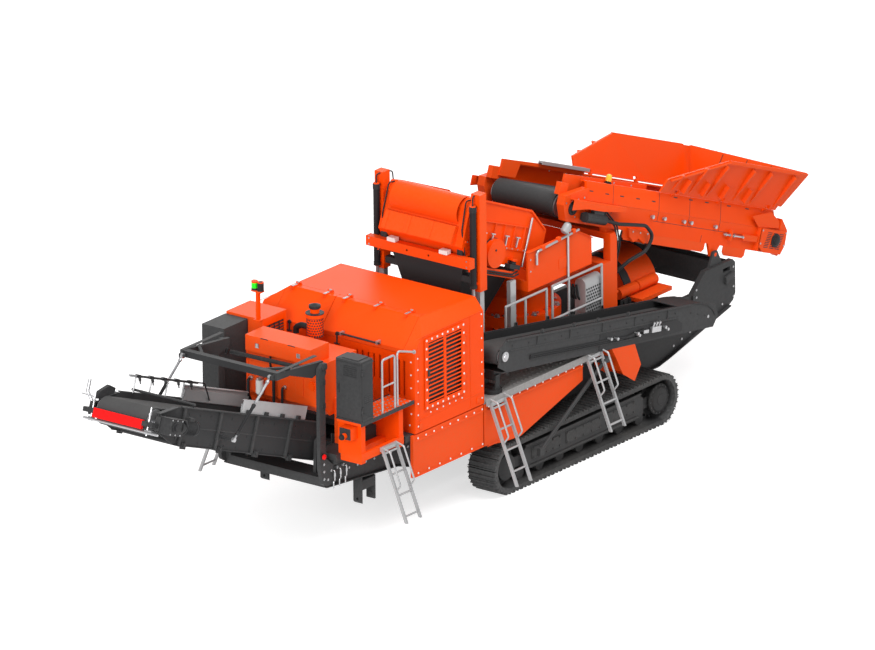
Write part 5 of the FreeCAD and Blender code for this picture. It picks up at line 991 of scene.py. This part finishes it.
bolts("apron_bolts", "root", [((-4.10, -1.482, 1.54), (-2.56, -1.482, 1.54), 9, TO_NEAR),
                              ((-2.40, -1.482, 1.54), (-0.16, -1.482, 1.54), 13, TO_NEAR),
                              ((-4.10, -1.482, 1.00), (-2.56, -1.482, 1.00), 7, TO_NEAR)],
      white_enamel, "galvanised", across=0.022, mirrored=True)
clamp_feet = Trim()
for x, y in ((-1.33, -0.985), (-0.85, -0.985), (-0.34, -0.985), (-0.20, -0.985), (0.20, -0.985),
             (-2.38, -0.84), (-2.05, -0.84)):
    clamp_feet.turned([(0, 0.045), (0.012, 0.045), (0.014, 0.028), (0.06, 0.028)], (x, y, 1.62), UPWARD, 16)
for x in (-1.33, -0.85, -0.34, 0.20):
    clamp_feet.turned([(-0.03, 0.026), (0.03, 0.026)], (x, -0.985, 2.145), (1, 0, 0), 12)
clamp_feet.both_sides()
clamp_feet.fit("rail_clamps", "root", galvanised)
loops = Trim()
for x in (-4.95, -4.62, -2.36, -2.03):
    loops.tube(bent([(x, -1.47, 1.64), (x, -1.62, 1.60), (x, -1.81, 1.12), (x, -1.735, 1.02)], 0.05), 0.014,
               8)
for x in (-0.02, 0.31):
    loops.tube(bent([(x, -1.47, 1.66), (x, -1.62, 1.62), (x, -1.80, 1.16), (x, -1.72, 1.06)], 0.05), 0.014,
               8)
loops.both_sides()
loops.fit("ladder_loops", "root", galvanised)

# Cone crusher: bolted flange, tramp relief cylinders with coil springs round the bowl, and pressure hoses.
CRUSHER_X = 0.05
bowl = Trim()
coils = Trim()
for k in range(8):
    t = 2 * math.pi * (k + 0.5) / 8
    x = CRUSHER_X + 0.72 * math.cos(t)
    y = 0.72 * math.sin(t)
    wave = []
    for turn in range(9):
        wave += [(0.03 + turn * 0.036, 0.052), (0.048 + turn * 0.036, 0.064)]
    coils.turned(wave, (x, y, 1.64), UPWARD, 16)
    bowl.turned([(0, 0.05), (0.02, 0.05), (0.022, 0.034), (0.045, 0.034)], (x, y, 2.16), UPWARD, 6)
for k in range(24):
    t = 2 * math.pi * k / 24
    bowl.turned([(0, 0.022), (0.022, 0.022)], (CRUSHER_X + 0.675 * math.cos(t), 0.675 * math.sin(t), 2.16),
                UPWARD, 6)
bowl.fit("bowl_bolts", "root", bright_steel)
coils.fit("relief_springs", "root", black_casting)
hoses = Trim()
for y in (-0.80, -0.74, -0.68):
    hoses.tube(bent([(0.62, y, 2.42), (0.62, y - 0.03, 2.22), (0.80, y - 0.1, 2.05), (1.02, y, 1.92),
                     (1.18, y, 1.70), (1.18, y, 1.52)],
                    0.12), 0.018, 10)
hoses.fit("crusher_hoses", "root", hose_rubber)
guard_rows = []
for k in range(15):
    z = 1.66 + k * 0.05
    guard_rows.append(((0.67 + 0.025 * (k % 2), -0.962, z), (0.985 + 0.025 * (k % 2), -0.962, z), 7,
                       TO_NEAR))
bolts("guard_holes", "root", guard_rows, black_casting, "black_parts", across=0.024)

# Crusher hopper: plain welded plates with a folded rim, a hinged pipe along its top with lugs, and a work
# lamp on a tall pole beside it.
bin_trim = Trim()
bin_trim.block(-0.735, 0.47, -0.965, -0.905, 3.325, 3.338)
bin_trim.plate([(0.47, 3.325), (0.47, 3.338), (0.835, 3.132), (0.835, 3.12)], "xz", -0.965, -0.905)
bin_trim.block(0.02, 0.25, -0.948, -0.94, 2.86, 3.02)
bin_trim.both_sides()
bin_trim.block(0.82, 0.836, -0.94, 0.94, 2.90, 2.92)
bin_trim.fit("crusher_hopper_rim", "root", orange_enamel, bevel=0.002)
bolts("crusher_hopper_bolts", "root", [((-0.66, -0.942, 3.02), (-0.66, -0.942, 3.20), 2, TO_NEAR)],
      bright_steel, "bare_steel",
      mirrored=True)
pipe = Trim()
pipe.tube(bent([(-0.55, -0.972, 3.10), (-0.55, -0.972, 3.30), (0.47, -0.972, 3.36)], 0.06), 0.019, 12)
pipe.tube([(0.22, -0.960, 2.52), (0.22, -0.960, 3.46)], 0.020, 12)
pipe.fit("hopper_pipe", "root", bright_steel)
lugs = Trim()
for x in (-0.40, -0.02, 0.34):
    lugs.block(x - 0.035, x + 0.035, -0.998, -0.945, 3.29 + 0.06 * (x + 0.55), 3.35 + 0.06 * (x + 0.55))
lugs.fit("hopper_pipe_lugs", "root", orange_enamel, bevel=0.003)
work_lamp = Trim()
work_lamp.turned([(0, 0.05), (0.02, 0.062), (0.13, 0.062), (0.16, 0.04)], (0.10, -0.98, 3.42),
                 (0.75, 0, 0.66), 20)
work_lamp.block(0.19, 0.25, -1.0, -0.945, 3.40, 3.47)
work_lamp.fit("work_lamp", "root", galvanised, bevel=0.003)

# Pre-screen: vibrating box of bolted plate on coil springs, lifted by two rams in black sleeves. Its nose
# has a ribbed cover, and a light bar with two white lamps spans the sleeves.
SCREEN_SLOPE = math.radians(21.0)
screen_at = MIDDLE @ Matrix.Translation((-1.150, 0, 3.560)) @ Matrix.Rotation(SCREEN_SLOPE, 4, "Y")
nose = Trim(screen_at)
nose.plate([(-1.080, -0.135), (-1.034, 0.142), (-1.008, 0.142), (-1.008, -0.135)], "xz", -0.64, 0.64)
for y in (-0.22, 0.19, 0.60):
    nose.plate([(-1.092, -0.130), (-1.046, 0.138), (-1.030, 0.138), (-1.076, -0.130)], "xz", y - 0.034,
               y + 0.034)
NOSE_R = 0.235
bulge = [(-0.825 - NOSE_R * math.cos(t),
          0.375 + NOSE_R * math.sin(t)) for t in (math.radians(-62 + 12 * k) for k in range(14))]
inner = [(-0.825 - (NOSE_R - 0.012) * math.cos(t), 0.375 + (NOSE_R - 0.012) * math.sin(t))
         for t in (math.radians(94 - 12 * k) for k in range(14))]
nose.plate(bulge + inner, "xz", -0.62, 0.62)
nose.fit("nose_cover", "screen", orange_enamel, bevel=0.003)
side_trim = Trim(screen_at)
side_trim.plate([(-0.90, 0.40), (-0.84, 0.555), (-0.62, 0.57), (0.58, 0.53), (1.02, 0.285), (1.02, 0.315),
                 (0.595, 0.552),
                 (-0.62, 0.595), (-0.86, 0.580), (-0.93, 0.41)], "xz", -0.792, -0.768)
side_trim.block(-0.90, 1.04, -0.788, -0.768, -0.068, -0.034)
side_trim.block(-0.62, 0.62, -0.792, -0.768, 0.285, 0.300)
for x in (-0.50, -0.25, 0.0, 0.25, 0.50):
    side_trim.block(x, x + 0.014, -0.796, -0.768, -0.034, 0.285)
side_trim.both_sides()
side_trim.fit("screen_side_ribs", "screen", orange_enamel, bevel=0.002)
bolts("screen_side_bolts", "screen", [((-0.86, -0.788, -0.05), (1.00, -0.788, -0.05), 14, TO_NEAR),
                                      ((0.10, -0.770, -0.25), (0.80, -0.770, -0.25), 5, TO_NEAR)],
      bright_steel, "bare_steel", place=screen_at, across=0.018, mirrored=True)
motor_rim = Trim(screen_at)
for side in (-1, 1):
    motor_rim.turned([(0, 0.225), (0.018, 0.225), (0.022, 0.214)], (-0.20, side * 0.772, -0.15),
                     (0, side, 0), 36)
    motor_rim.turned([(0, 0.016), (0.010, 0.016)], (-0.24, side * 0.880, -0.10), (0, side, 0), 10)
motor_rim.fit("exciter_covers", "screen", black_casting, bevel=0.002)
buffers = Trim(screen_at)
for side in (-1, 1):
    for x in (-0.46, 0.32):
        coil = []
        for turn in range(5):
            coil += [(0.004 + turn * 0.032, 0.042), (0.018 + turn * 0.032, 0.054)]
        buffers.turned(coil, (x, side * 0.828, -0.375), UPWARD, 16)
    buffers.tube(bent([(-0.55, side * 0.872, -0.448), (0.34, side * 0.872, -0.448),
                       (0.50, side * 0.84, -0.40)], 0.05), 0.013, 10)
    buffers.tube(bent([(-0.55, side * 0.872, -0.415), (0.30, side * 0.872, -0.415),
                       (0.46, side * 0.84, -0.36)], 0.05), 0.013, 10)
    buffers.block(0.20, 0.46, side * 0.828 - 0.05, side * 0.828 + 0.05, -0.335, -0.270)
buffers.fit("screen_springs", "screen", hose_rubber, bevel=0.002)
media = Trim(screen_at)
for k in range(29):
    y = -0.70 + k * 0.05
    media.block(-0.90, 1.04, y - 0.008, y + 0.008, -0.040, -0.016)
for x in (-0.80, -0.40, 0.0, 0.40, 0.80):
    media.block(x, x + 0.03, -0.745, 0.745, -0.052, -0.030)
media.fit("screen_deck_bars", "screen", track_steel)
clamps = Trim(screen_at)
for x in (-0.52, -0.30, 0.06, 0.34):
    clamps.block(x - 0.05, x + 0.05, -0.826, -0.800, 0.118, 0.136)
    clamps.block(x - 0.011, x + 0.011, -0.822, -0.798, -0.02, 0.118)
clamps.tube([(0.60, -0.806, 0.45), (0.60, -0.806, -0.29)], 0.016, 12)
clamps.both_sides()
clamps.fit("screen_clamp_bars", "screen", bright_steel, bevel=0.002)
rams = Trim()
for side in (-1, 1):
    y = side * 0.89
    rams.turned([(0, 0.054), (0.05, 0.054), (0.052, 0.049), (1.18, 0.049), (1.182, 0.056), (1.26, 0.056),
                 (1.272, 0.03)],
                (-1.972, y, 3.125), UPWARD, 24)
    rams.tube(bent([(-1.972, y, 4.36), (-1.972, y, 4.53), (-1.84, y * 0.95, 4.545), (-1.70, y * 0.90, 4.53),
                    (-1.70, y * 0.87, 4.30),
                    (-1.70, y * 0.87, 4.12)], 0.05), 0.011, 10)
    rams.tube(bent([(-1.985, y * 0.96, 3.30), (-2.02, y * 0.9, 3.42), (-2.03, y * 0.82, 4.0),
                    (-1.90, y * 0.80, 4.42),
                    (-1.74, y * 0.80, 4.40), (-1.70, y * 0.82, 4.05)], 0.06), 0.011, 10)
    rams.block(-2.05, -1.97, y * 0.787 - 0.05, y * 0.787 + 0.05, 3.58, 3.76)
rams.fit("lift_ram_sleeves", "screen", black_casting)
bar_lamps = Trim()
for y in (-0.48, 0.48):
    bar_lamps.block(-2.176, -2.066, y - 0.076, y + 0.076, 3.621, 3.687)
    bar_lamps.block(-2.15, -2.05, y - 0.03, y + 0.03, 3.60, 3.625)
bar_lamps.fit("light_bar_lamps", "screen", white_enamel, bevel=0.008)
bolts("light_bar_bolts", "screen", [((-2.152, -0.90, 3.50), (-2.152, -0.90, 3.59), 2, TO_FRONT),
                                    ((-2.152, -0.20, 3.545),
      (-2.152, 0.20, 3.545), 2, TO_FRONT)], bright_steel, "bare_steel", mirrored=True)

# Feed conveyor: folded side sheets in bolted lengths, a belly sheet below, a screw tensioner and a louvred
# guard at the tail, an oil motor at the head with its hoses led down the stand.
feed_at = Matrix.Translation(joint["feed_tail_spin"]["pos_m"]) @ Matrix.Rotation(math.radians(21.1), 4, "Y")
# Painted shade: black strips on the joints of the side sheets stand for the shadow lines in the gaps between
# the bolted lengths, and short dark marks sit along their upper edge in the same black piece.
seam_shadows = Trim(feed_at)
for x in (-4.21, -3.01, -2.21, -1.40):
    seam_shadows.plate([(-0.8015, 0.0), (-0.8015, 0.15), (-0.742, 0.428), (-0.738, 0.428), (-0.797, 0.15),
                 (-0.797, 0.0)], "yz", x, x + 0.007)
seam_shadows.block(-1.80, -1.793, -0.8015, -0.797, -0.205, -0.10)
seam_shadows.block(-3.10, -0.30, -0.8015, -0.797, -0.004, 0.002)
for x, z in ((-4.775, 0.291), (-4.363, 0.285), (-3.98, 0.286), (-3.562, 0.287), (-3.154, 0.284),
             (-2.59, 0.39), (-2.19, 0.39), (-1.77, 0.39), (-1.19, 0.39), (-0.71, 0.39)):
    y = -0.80 + 0.06 * (z - 0.15) / 0.28
    seam_shadows.block(x - 0.045, x + 0.045, y - 0.003, y + 0.006, z - 0.008, z + 0.008)
seam_shadows.both_sides()
seam_shadows.fit("feed_side_seams", "feed_conveyor", black_casting)
knobs = Trim(feed_at)
for x in (-3.18, -2.87, -2.36, -2.17, -1.53):
    knobs.turned([(0, 0.018), (0.026, 0.018), (0.028, 0.030), (0.052, 0.030), (0.056, 0.022)],
                 (x, -0.80, 0.06), TO_NEAR, 12)
knobs.tube([(-1.28, -0.832, -0.03), (-0.56, -0.832, -0.03)], 0.014, 12)
for x in (-1.24, -1.13, -1.03, -0.80):
    knobs.turned([(0, 0.026), (0.024, 0.026)], (x, -0.832, -0.03), (1, 0, 0), 6)
knobs.both_sides()
knobs.fit("feed_side_knobs", "feed_conveyor", bright_steel)
sheets = Trim(feed_at)
for x0, x1 in ((-3.80, -1.66), (-1.18, -0.60)):
    sheets.plate([(x0, -0.205), (x1, -0.205), (x1, -0.30), (x1 - 0.05, -0.345), (x0 + 0.05, -0.345),
                  (x0, -0.30)], "xz", -0.799, -0.784)
sheets.block(-4.88, -0.10, -0.804, -0.795, 0.146, 0.156)
sheets.block(-1.12, -1.08, -0.86, -0.795, -0.11, 0.05)
sheets.block(-0.78, -0.42, -0.852, -0.795, -0.075, 0.015)
sheets.plate([(-3.74, -0.16), (-3.12, -0.16), (-3.16, -0.27), (-3.28, -0.355), (-3.44, -0.29),
              (-3.56, -0.355), (-3.68, -0.28)],
             "xz", -0.85, -0.80)
sheets.plate([(-0.66, 0.30), (-0.20, 0.405), (0.05, 0.29), (0.09, 0.18), (-0.45, 0.155)], "xz", -0.846,
             -0.83)
sheets.block(-0.40, -0.385, -0.876, -0.79, -0.20, 0.15)
sheets.plate([(-0.40, 0.155), (0.262, 0.165), (0.276, -0.06), (0.205, -0.20), (-0.25, -0.205),
              (-0.40, -0.12)], "xz", -0.876, -0.862)
sheets.block(-0.40, 0.10, -0.876, -0.79, 0.148, 0.158)
sheets.block(-5.44, -5.24, -0.672, -0.585, 0.16, 0.345)
sheets.block(-5.30, -4.05, -0.945, -0.79, 0.128, 0.142)
sheets.plate([(-5.40, -0.02), (-5.40, 0.142), (-4.05, 0.142), (-4.05, 0.07), (-4.62, 0.03), (-5.02, 0.03)],
             "xz", -0.955, -0.941)
sheets.both_sides()
sheets.fit("feed_side_sheets", "feed_conveyor", orange_enamel, bevel=0.003)
louvres = Trim(feed_at)
for x in (-0.27, -0.12, 0.03):
    for k in range(10):
        louvres.block(x + 0.006 * k, x + 0.11 + 0.006 * k, -0.878, -0.862, -0.13 + 0.025 * k,
                      -0.119 + 0.025 * k)
louvres.both_sides()
louvres.fit("tail_guard_louvres", "feed_conveyor", black_casting)
bearings = Trim(feed_at)
for side in (-1, 1):
    for x, y in ((-5.2, 0.80), (0.0, 0.878)):
        bearings.turned([(0, 0.105), (0.016, 0.105), (0.020, 0.075), (0.045, 0.066), (0.050, 0.03)],
                        (x, side * y, 0), (0, side, 0), 24)
bearings.tube([(-4.50, -0.895, -0.02), (-4.50, -0.895, 0.05), (-4.74, -0.895, 0.05)], 0.03, 12)
bearings.block(-4.80, -4.55, -0.93, -0.86, -0.03, 0.03)
bearings.fit("feed_bearings", "feed_conveyor", black_casting, bevel=0.002)
bolts("feed_bolts", "feed_conveyor", [((-5.38, -0.803, 0.06), (-4.96, -0.803, 0.18), 4, TO_NEAR),
                                      ((-5.10, -0.803, -0.12), (-4.95, -0.803, -0.12), 2, TO_NEAR),
                                      ((-3.62, -0.852, -0.20), (-3.24, -0.852, -0.20), 3, TO_NEAR),
                                      ((-4.00, -0.592, 0.40), (-3.55, -0.592, 0.40), 2, TO_NEAR),
                                      ((-4.00, -0.592, 0.45), (-3.55, -0.592, 0.45), 2, TO_NEAR),
                                      ((-0.36, -0.878, -0.08), (-0.36, -0.878, 0.12), 2, TO_NEAR),
                                      ((0.24, -0.878, -0.06), (0.24, -0.878, 0.13), 2, TO_NEAR)],
      bright_steel, "bare_steel", place=feed_at, mirrored=True)
channel = Trim(feed_at)
channel.block(-4.36, -3.13, 0.492, 0.562, 0.502, 0.512)
channel.block(-4.36, -3.13, 0.486, 0.496, 0.480, 0.530)
channel.block(-4.36, -3.13, 0.558, 0.568, 0.480, 0.530)
channel.fit("spill_channel", "feed_conveyor", galvanised, bevel=0.002)
foot = Trim(feed_at)
foot.turned([(0, 0.058), (0.03, 0.058), (0.034, 0.044), (0.05, 0.044)], (-4.20, -0.625, 0.415), UPWARD, 24)
foot.fit("feed_beacon_foot", "feed_conveyor", black_casting)
lens = Trim(feed_at)
lens.turned([(0, 0.046), (0.07, 0.045), (0.095, 0.036), (0.106, 0.015)], (-4.20, -0.625, 0.465), UPWARD, 24)
lens.fit("feed_beacon_lens", "feed_conveyor", amber_glow)
feed_hoses = Trim()
feed_hoses.tube(bent([(1.22, -0.895, 3.27), (1.50, -0.93, 3.14), (1.85, -0.93, 3.03), (2.16, -0.93, 2.93),
                      (2.34, -0.93, 2.72),
                      (2.20, -0.90, 2.52), (1.85, -0.86, 2.46), (1.63, -0.74, 2.30), (1.60, -0.69, 2.0),
                      (1.60, -0.69, 1.58)],
                     0.22, 6), 0.028, 12)
for step in (0, 0.05):
    feed_hoses.tube(bent([(1.28 + step, -0.83, 3.36), (1.44 + step, -0.90, 3.12),
                          (1.56 + step, -0.86, 2.78), (1.60 + step, -0.76, 2.45),
                          (1.62 + step, -0.73, 2.1), (1.62 + step, -0.73, 1.58)], 0.2, 6), 0.014, 10)
feed_line = feed_hoses.fit("feed_motor_hoses", None, hose_rubber)
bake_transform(feed_line)
line_clamps = Trim()
for z in (1.70, 1.98):
    line_clamps.block(1.535, 1.70, -0.765, -0.655, z, z + 0.035)
line_clamps.fit("hose_clamps", "root", orange_enamel, bevel=0.003)

# Hopper walls: corner plates on the rear wall close the gaps beside it, and a folded lip and fins stiffen
# each side wall.
HINGE_Y = abs(joint["hopper_near_fold"]["pos_m"][1])
LEAN = Vector((0, -0.29, 0.63))
OUTSIDE = Vector((0, -0.63, -0.29)).normalized()


def slab(trim, corners, thickness):
    """A flat sheet through four corners, with a thickness to one side of it."""
    trim.sheet(corners, [corner + thickness for corner in corners])


def wall_spot(x, share, proud=0.0):
    """A place on the near wall's outer face: share 0 is its hinge and 1 its rim."""
    return Vector((x, -HINGE_Y, 0.45)) + LEAN * share + OUTSIDE * proud


for body, side in (("hopper_wall_near", 1), ("hopper_wall_far", -1)):
    corner = Trim(feed_at @ Matrix.Scale(side, 4, Vector((0, 1, 0))))
    slab(corner, [wall_spot(-3.02, 0.335, 0.030), wall_spot(-1.90, 0.995, 0.030),
                  wall_spot(-1.90, 0.945, 0.030),
                  wall_spot(-3.00, 0.295, 0.030)], OUTSIDE * 0.03)
    slab(corner, [wall_spot(-1.90, 0.995, 0.030), wall_spot(-0.07, 0.995, 0.030),
                  wall_spot(-0.07, 0.945, 0.030),
                  wall_spot(-1.90, 0.945, 0.030)], OUTSIDE * 0.03)
    for x in (-2.62, -2.12, -1.62, -1.02):
        slab(corner, [wall_spot(x, 0.42, 0.030), wall_spot(x + 0.014, 0.42, 0.030),
                      wall_spot(x + 0.014, 0.10, 0.030),
                      wall_spot(x, 0.10, 0.030)], OUTSIDE * 0.07)
    if side == -1:
        bmesh.ops.reverse_faces(corner.mesh, faces=corner.mesh.faces[:])
    corner.fit(body + "_lips", body, orange_enamel)
corners = Trim(feed_at)
for mirror in (False, True):
    slab(corners, [wall_spot(-0.130, 0.12, 0.036), wall_spot(-0.005, 0.12, 0.036),
                   wall_spot(0.158, 1.0, 0.036),
                   wall_spot(-0.130, 1.0, 0.036)], OUTSIDE * 0.010)
    slab(corners, [wall_spot(-0.032, 0.12), wall_spot(-0.006, 0.12), wall_spot(0.157, 1.0),
                   wall_spot(0.131, 1.0)],
         OUTSIDE * 0.036)
    if not mirror:
        bmesh.ops.reverse_faces(corners.mesh, faces=corners.mesh.faces[:])
        for vert in corners.mesh.verts:
            vert.co.y = -vert.co.y
corners.fit("rear_corner_plates", "hopper_wall_rear", orange_enamel)
liner = Trim(feed_at)
for y in (-0.45, 0.0, 0.45):
    slab(liner, [Vector((-0.057, y - 0.004, 0.52)), Vector((-0.057, y + 0.004, 0.52)),
                 Vector((0.118, y + 0.004, 1.06)),
                 Vector((0.118, y - 0.004, 1.06))], Vector((-0.003, 0, 0)))
liner.fit("rear_liner_seams", "hopper_wall_rear", black_casting)

# Drive guard: a rolled orange cover beside the hood and a ribbed black belt case below it.
guard_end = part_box("pulley_guard")[1].x - MIDDLE.to_translation().x
GUARD_X0 = guard_end - 1.02
GUARD_X1 = guard_end - 0.12
roll = Trim()
roll.tube([(GUARD_X0, -0.545, 1.83), (GUARD_X0 + 0.43, -0.545, 1.83)], 0.085, 20)
roll.tube([(GUARD_X0 + 0.45, -0.545, 1.83), (GUARD_X1, -0.545, 1.83)], 0.085, 20)
roll.fit("drive_cover_roll", "root", orange_enamel)
belt_case = Trim()
HOOD_MIDDLE_Z = 1.72
HOOD_REACH = 0.545
arch = [(-HOOD_REACH * math.cos(math.radians(12 * k)),
         HOOD_MIDDLE_Z + HOOD_REACH * math.sin(math.radians(12 * k))) for k in range(16)]
under = [(y * 0.97, HOOD_MIDDLE_Z + (z - HOOD_MIDDLE_Z) * 0.97) for y, z in reversed(arch)]
belt_case.plate(arch + under, "yz", 2.17, 2.34)
belt_case.block(GUARD_X0, GUARD_X1, -0.60, -0.585, 1.40, 1.74)
for k in range(7):
    x = GUARD_X0 + 0.06 + k * 0.13
    belt_case.block(x, x + 0.05, -0.625, -0.60, 1.42, 1.72)
belt_case.fit("belt_case", "root", black_casting, bevel=0.004)

# Side conveyor: flanged side plates with idler brackets, rubber skirts, a rounded head cover, and the oil
# valve and its hoses in the open lower half of the near plate. A stay rests it on the track frame.
side_at = Matrix.Translation(joint["side_tilt"]["pos_m"]) @ Matrix.Rotation(math.radians(9.2), 4, "Y")
flanges = Trim(side_at)
flanges.block(-0.05, 4.48, -0.268, -0.248, 0.578, 0.602)
flanges.block(0.05, 4.20, -0.258, -0.248, 0.420, 0.440)
for x in (0.70, 1.50, 2.30, 3.10, 3.90):
    flanges.block(x, x + 0.014, -0.266, -0.248, 0.440, 0.578)
for x in (0.82, 1.60, 2.18, 2.93):
    flanges.plate([(x - 0.05, 0.59), (x + 0.05, 0.59), (x + 0.03, 0.665), (x - 0.03, 0.665)], "xz", -0.250,
                  -0.236)
    flanges.turned([(0, 0.022), (0.03, 0.022)], (x, -0.236, 0.64), TO_NEAR, 10)
flanges.both_sides()
cover_line = [(4.15, 0.604), (4.50, 0.604), (4.75, 0.585), (4.93, 0.535), (5.06, 0.455), (5.14, 0.36),
              (5.10, 0.36),
              (5.03, 0.445), (4.91, 0.52), (4.74, 0.570), (4.50, 0.590), (4.15, 0.590)]
flanges.plate(cover_line, "xz", -0.262, 0.262)
flanges.fit("side_flanges", "side_conveyor", charcoal_enamel, bevel=0.002)
recess = Trim(side_at)
recess.plate([(2.26, 0.15), (2.26, 0.40), (4.16, 0.40), (4.30, 0.33), (4.30, 0.22), (3.6, 0.185)], "xz",
             -0.256, -0.248)
for z, x1 in ((0.300, 3.35), (0.275, 3.20), (0.250, 3.48)):
    recess.tube(bent([(0.55, -0.262, z), (x1 - 0.4, -0.262, z), (x1, -0.275, z + 0.06)], 0.08), 0.012, 8)
recess.block(0.0, 4.30, -0.205, -0.197, 0.476, 0.600)
recess.block(0.0, 4.30, 0.197, 0.205, 0.476, 0.600)
recess.fit("side_rubber_and_hoses", "side_conveyor", hose_rubber)
valve = Trim(side_at)
valve.block(3.50, 3.72, -0.300, -0.256, 0.290, 0.375)
valve.block(3.30, 3.42, -0.295, -0.256, 0.300, 0.350)
for x, z in ((2.46, 0.325), (2.62, 0.310), (3.12, 0.330), (3.16, 0.300), (3.80, 0.345), (3.86, 0.310)):
    valve.turned([(0, 0.016), (0.05, 0.016), (0.052, 0.024), (0.075, 0.024)], (x, -0.256, z), TO_NEAR, 8)
for x in (3.54, 3.61, 3.68):
    valve.turned([(0, 0.014), (0.05, 0.014), (0.052, 0.020), (0.075, 0.020)], (x, -0.28, 0.375),
                 (0, -0.3, 1), 8)
valve.turned([(0, 0.075), (0.014, 0.075), (0.018, 0.045), (0.030, 0.040)], (-0.062, -0.252, 0.354), TO_NEAR,
             24)
valve.fit("side_valve", "side_conveyor", bright_steel, bevel=0.002)
bolts("side_bolts", "side_conveyor", [((0.10, -0.258, 0.50), (4.10, -0.258, 0.50), 11, TO_NEAR),
                                      ((-0.12, -0.252, 0.42), (-0.12, -0.252, 0.28), 2, TO_NEAR),
                                      ((4.50, -0.252, 0.46), (4.86, -0.252, 0.38), 3, TO_NEAR)],
      black_casting, "black_parts", place=side_at, across=0.018, mirrored=True)
stay = Trim()
stay.tube([(-1.19, -1.50, 0.50), (0.38, -1.50, 1.45)], 0.030, 14)
stay.block(-1.24, -1.14, -1.535, -1.465, 0.43, 0.55)
stay.block(0.30, 0.46, -1.56, -1.40, 1.43, 1.50)
stay.fit("travel_stay", "root", charcoal_enamel, bevel=0.003)

# Scraper arms under the discharge head: black castings bolted beside the red blade.
arms = Trim(discharge_at)
arms.block(-4.1755, -4.008, -0.636, -0.574, -0.066, 0.006)
arms.block(-4.1755, -4.118, -0.584, -0.444, -0.066, 0.006)
arms.both_sides()
arms.fit("scraper_arms", "front_conveyor", black_casting, bevel=0.002)
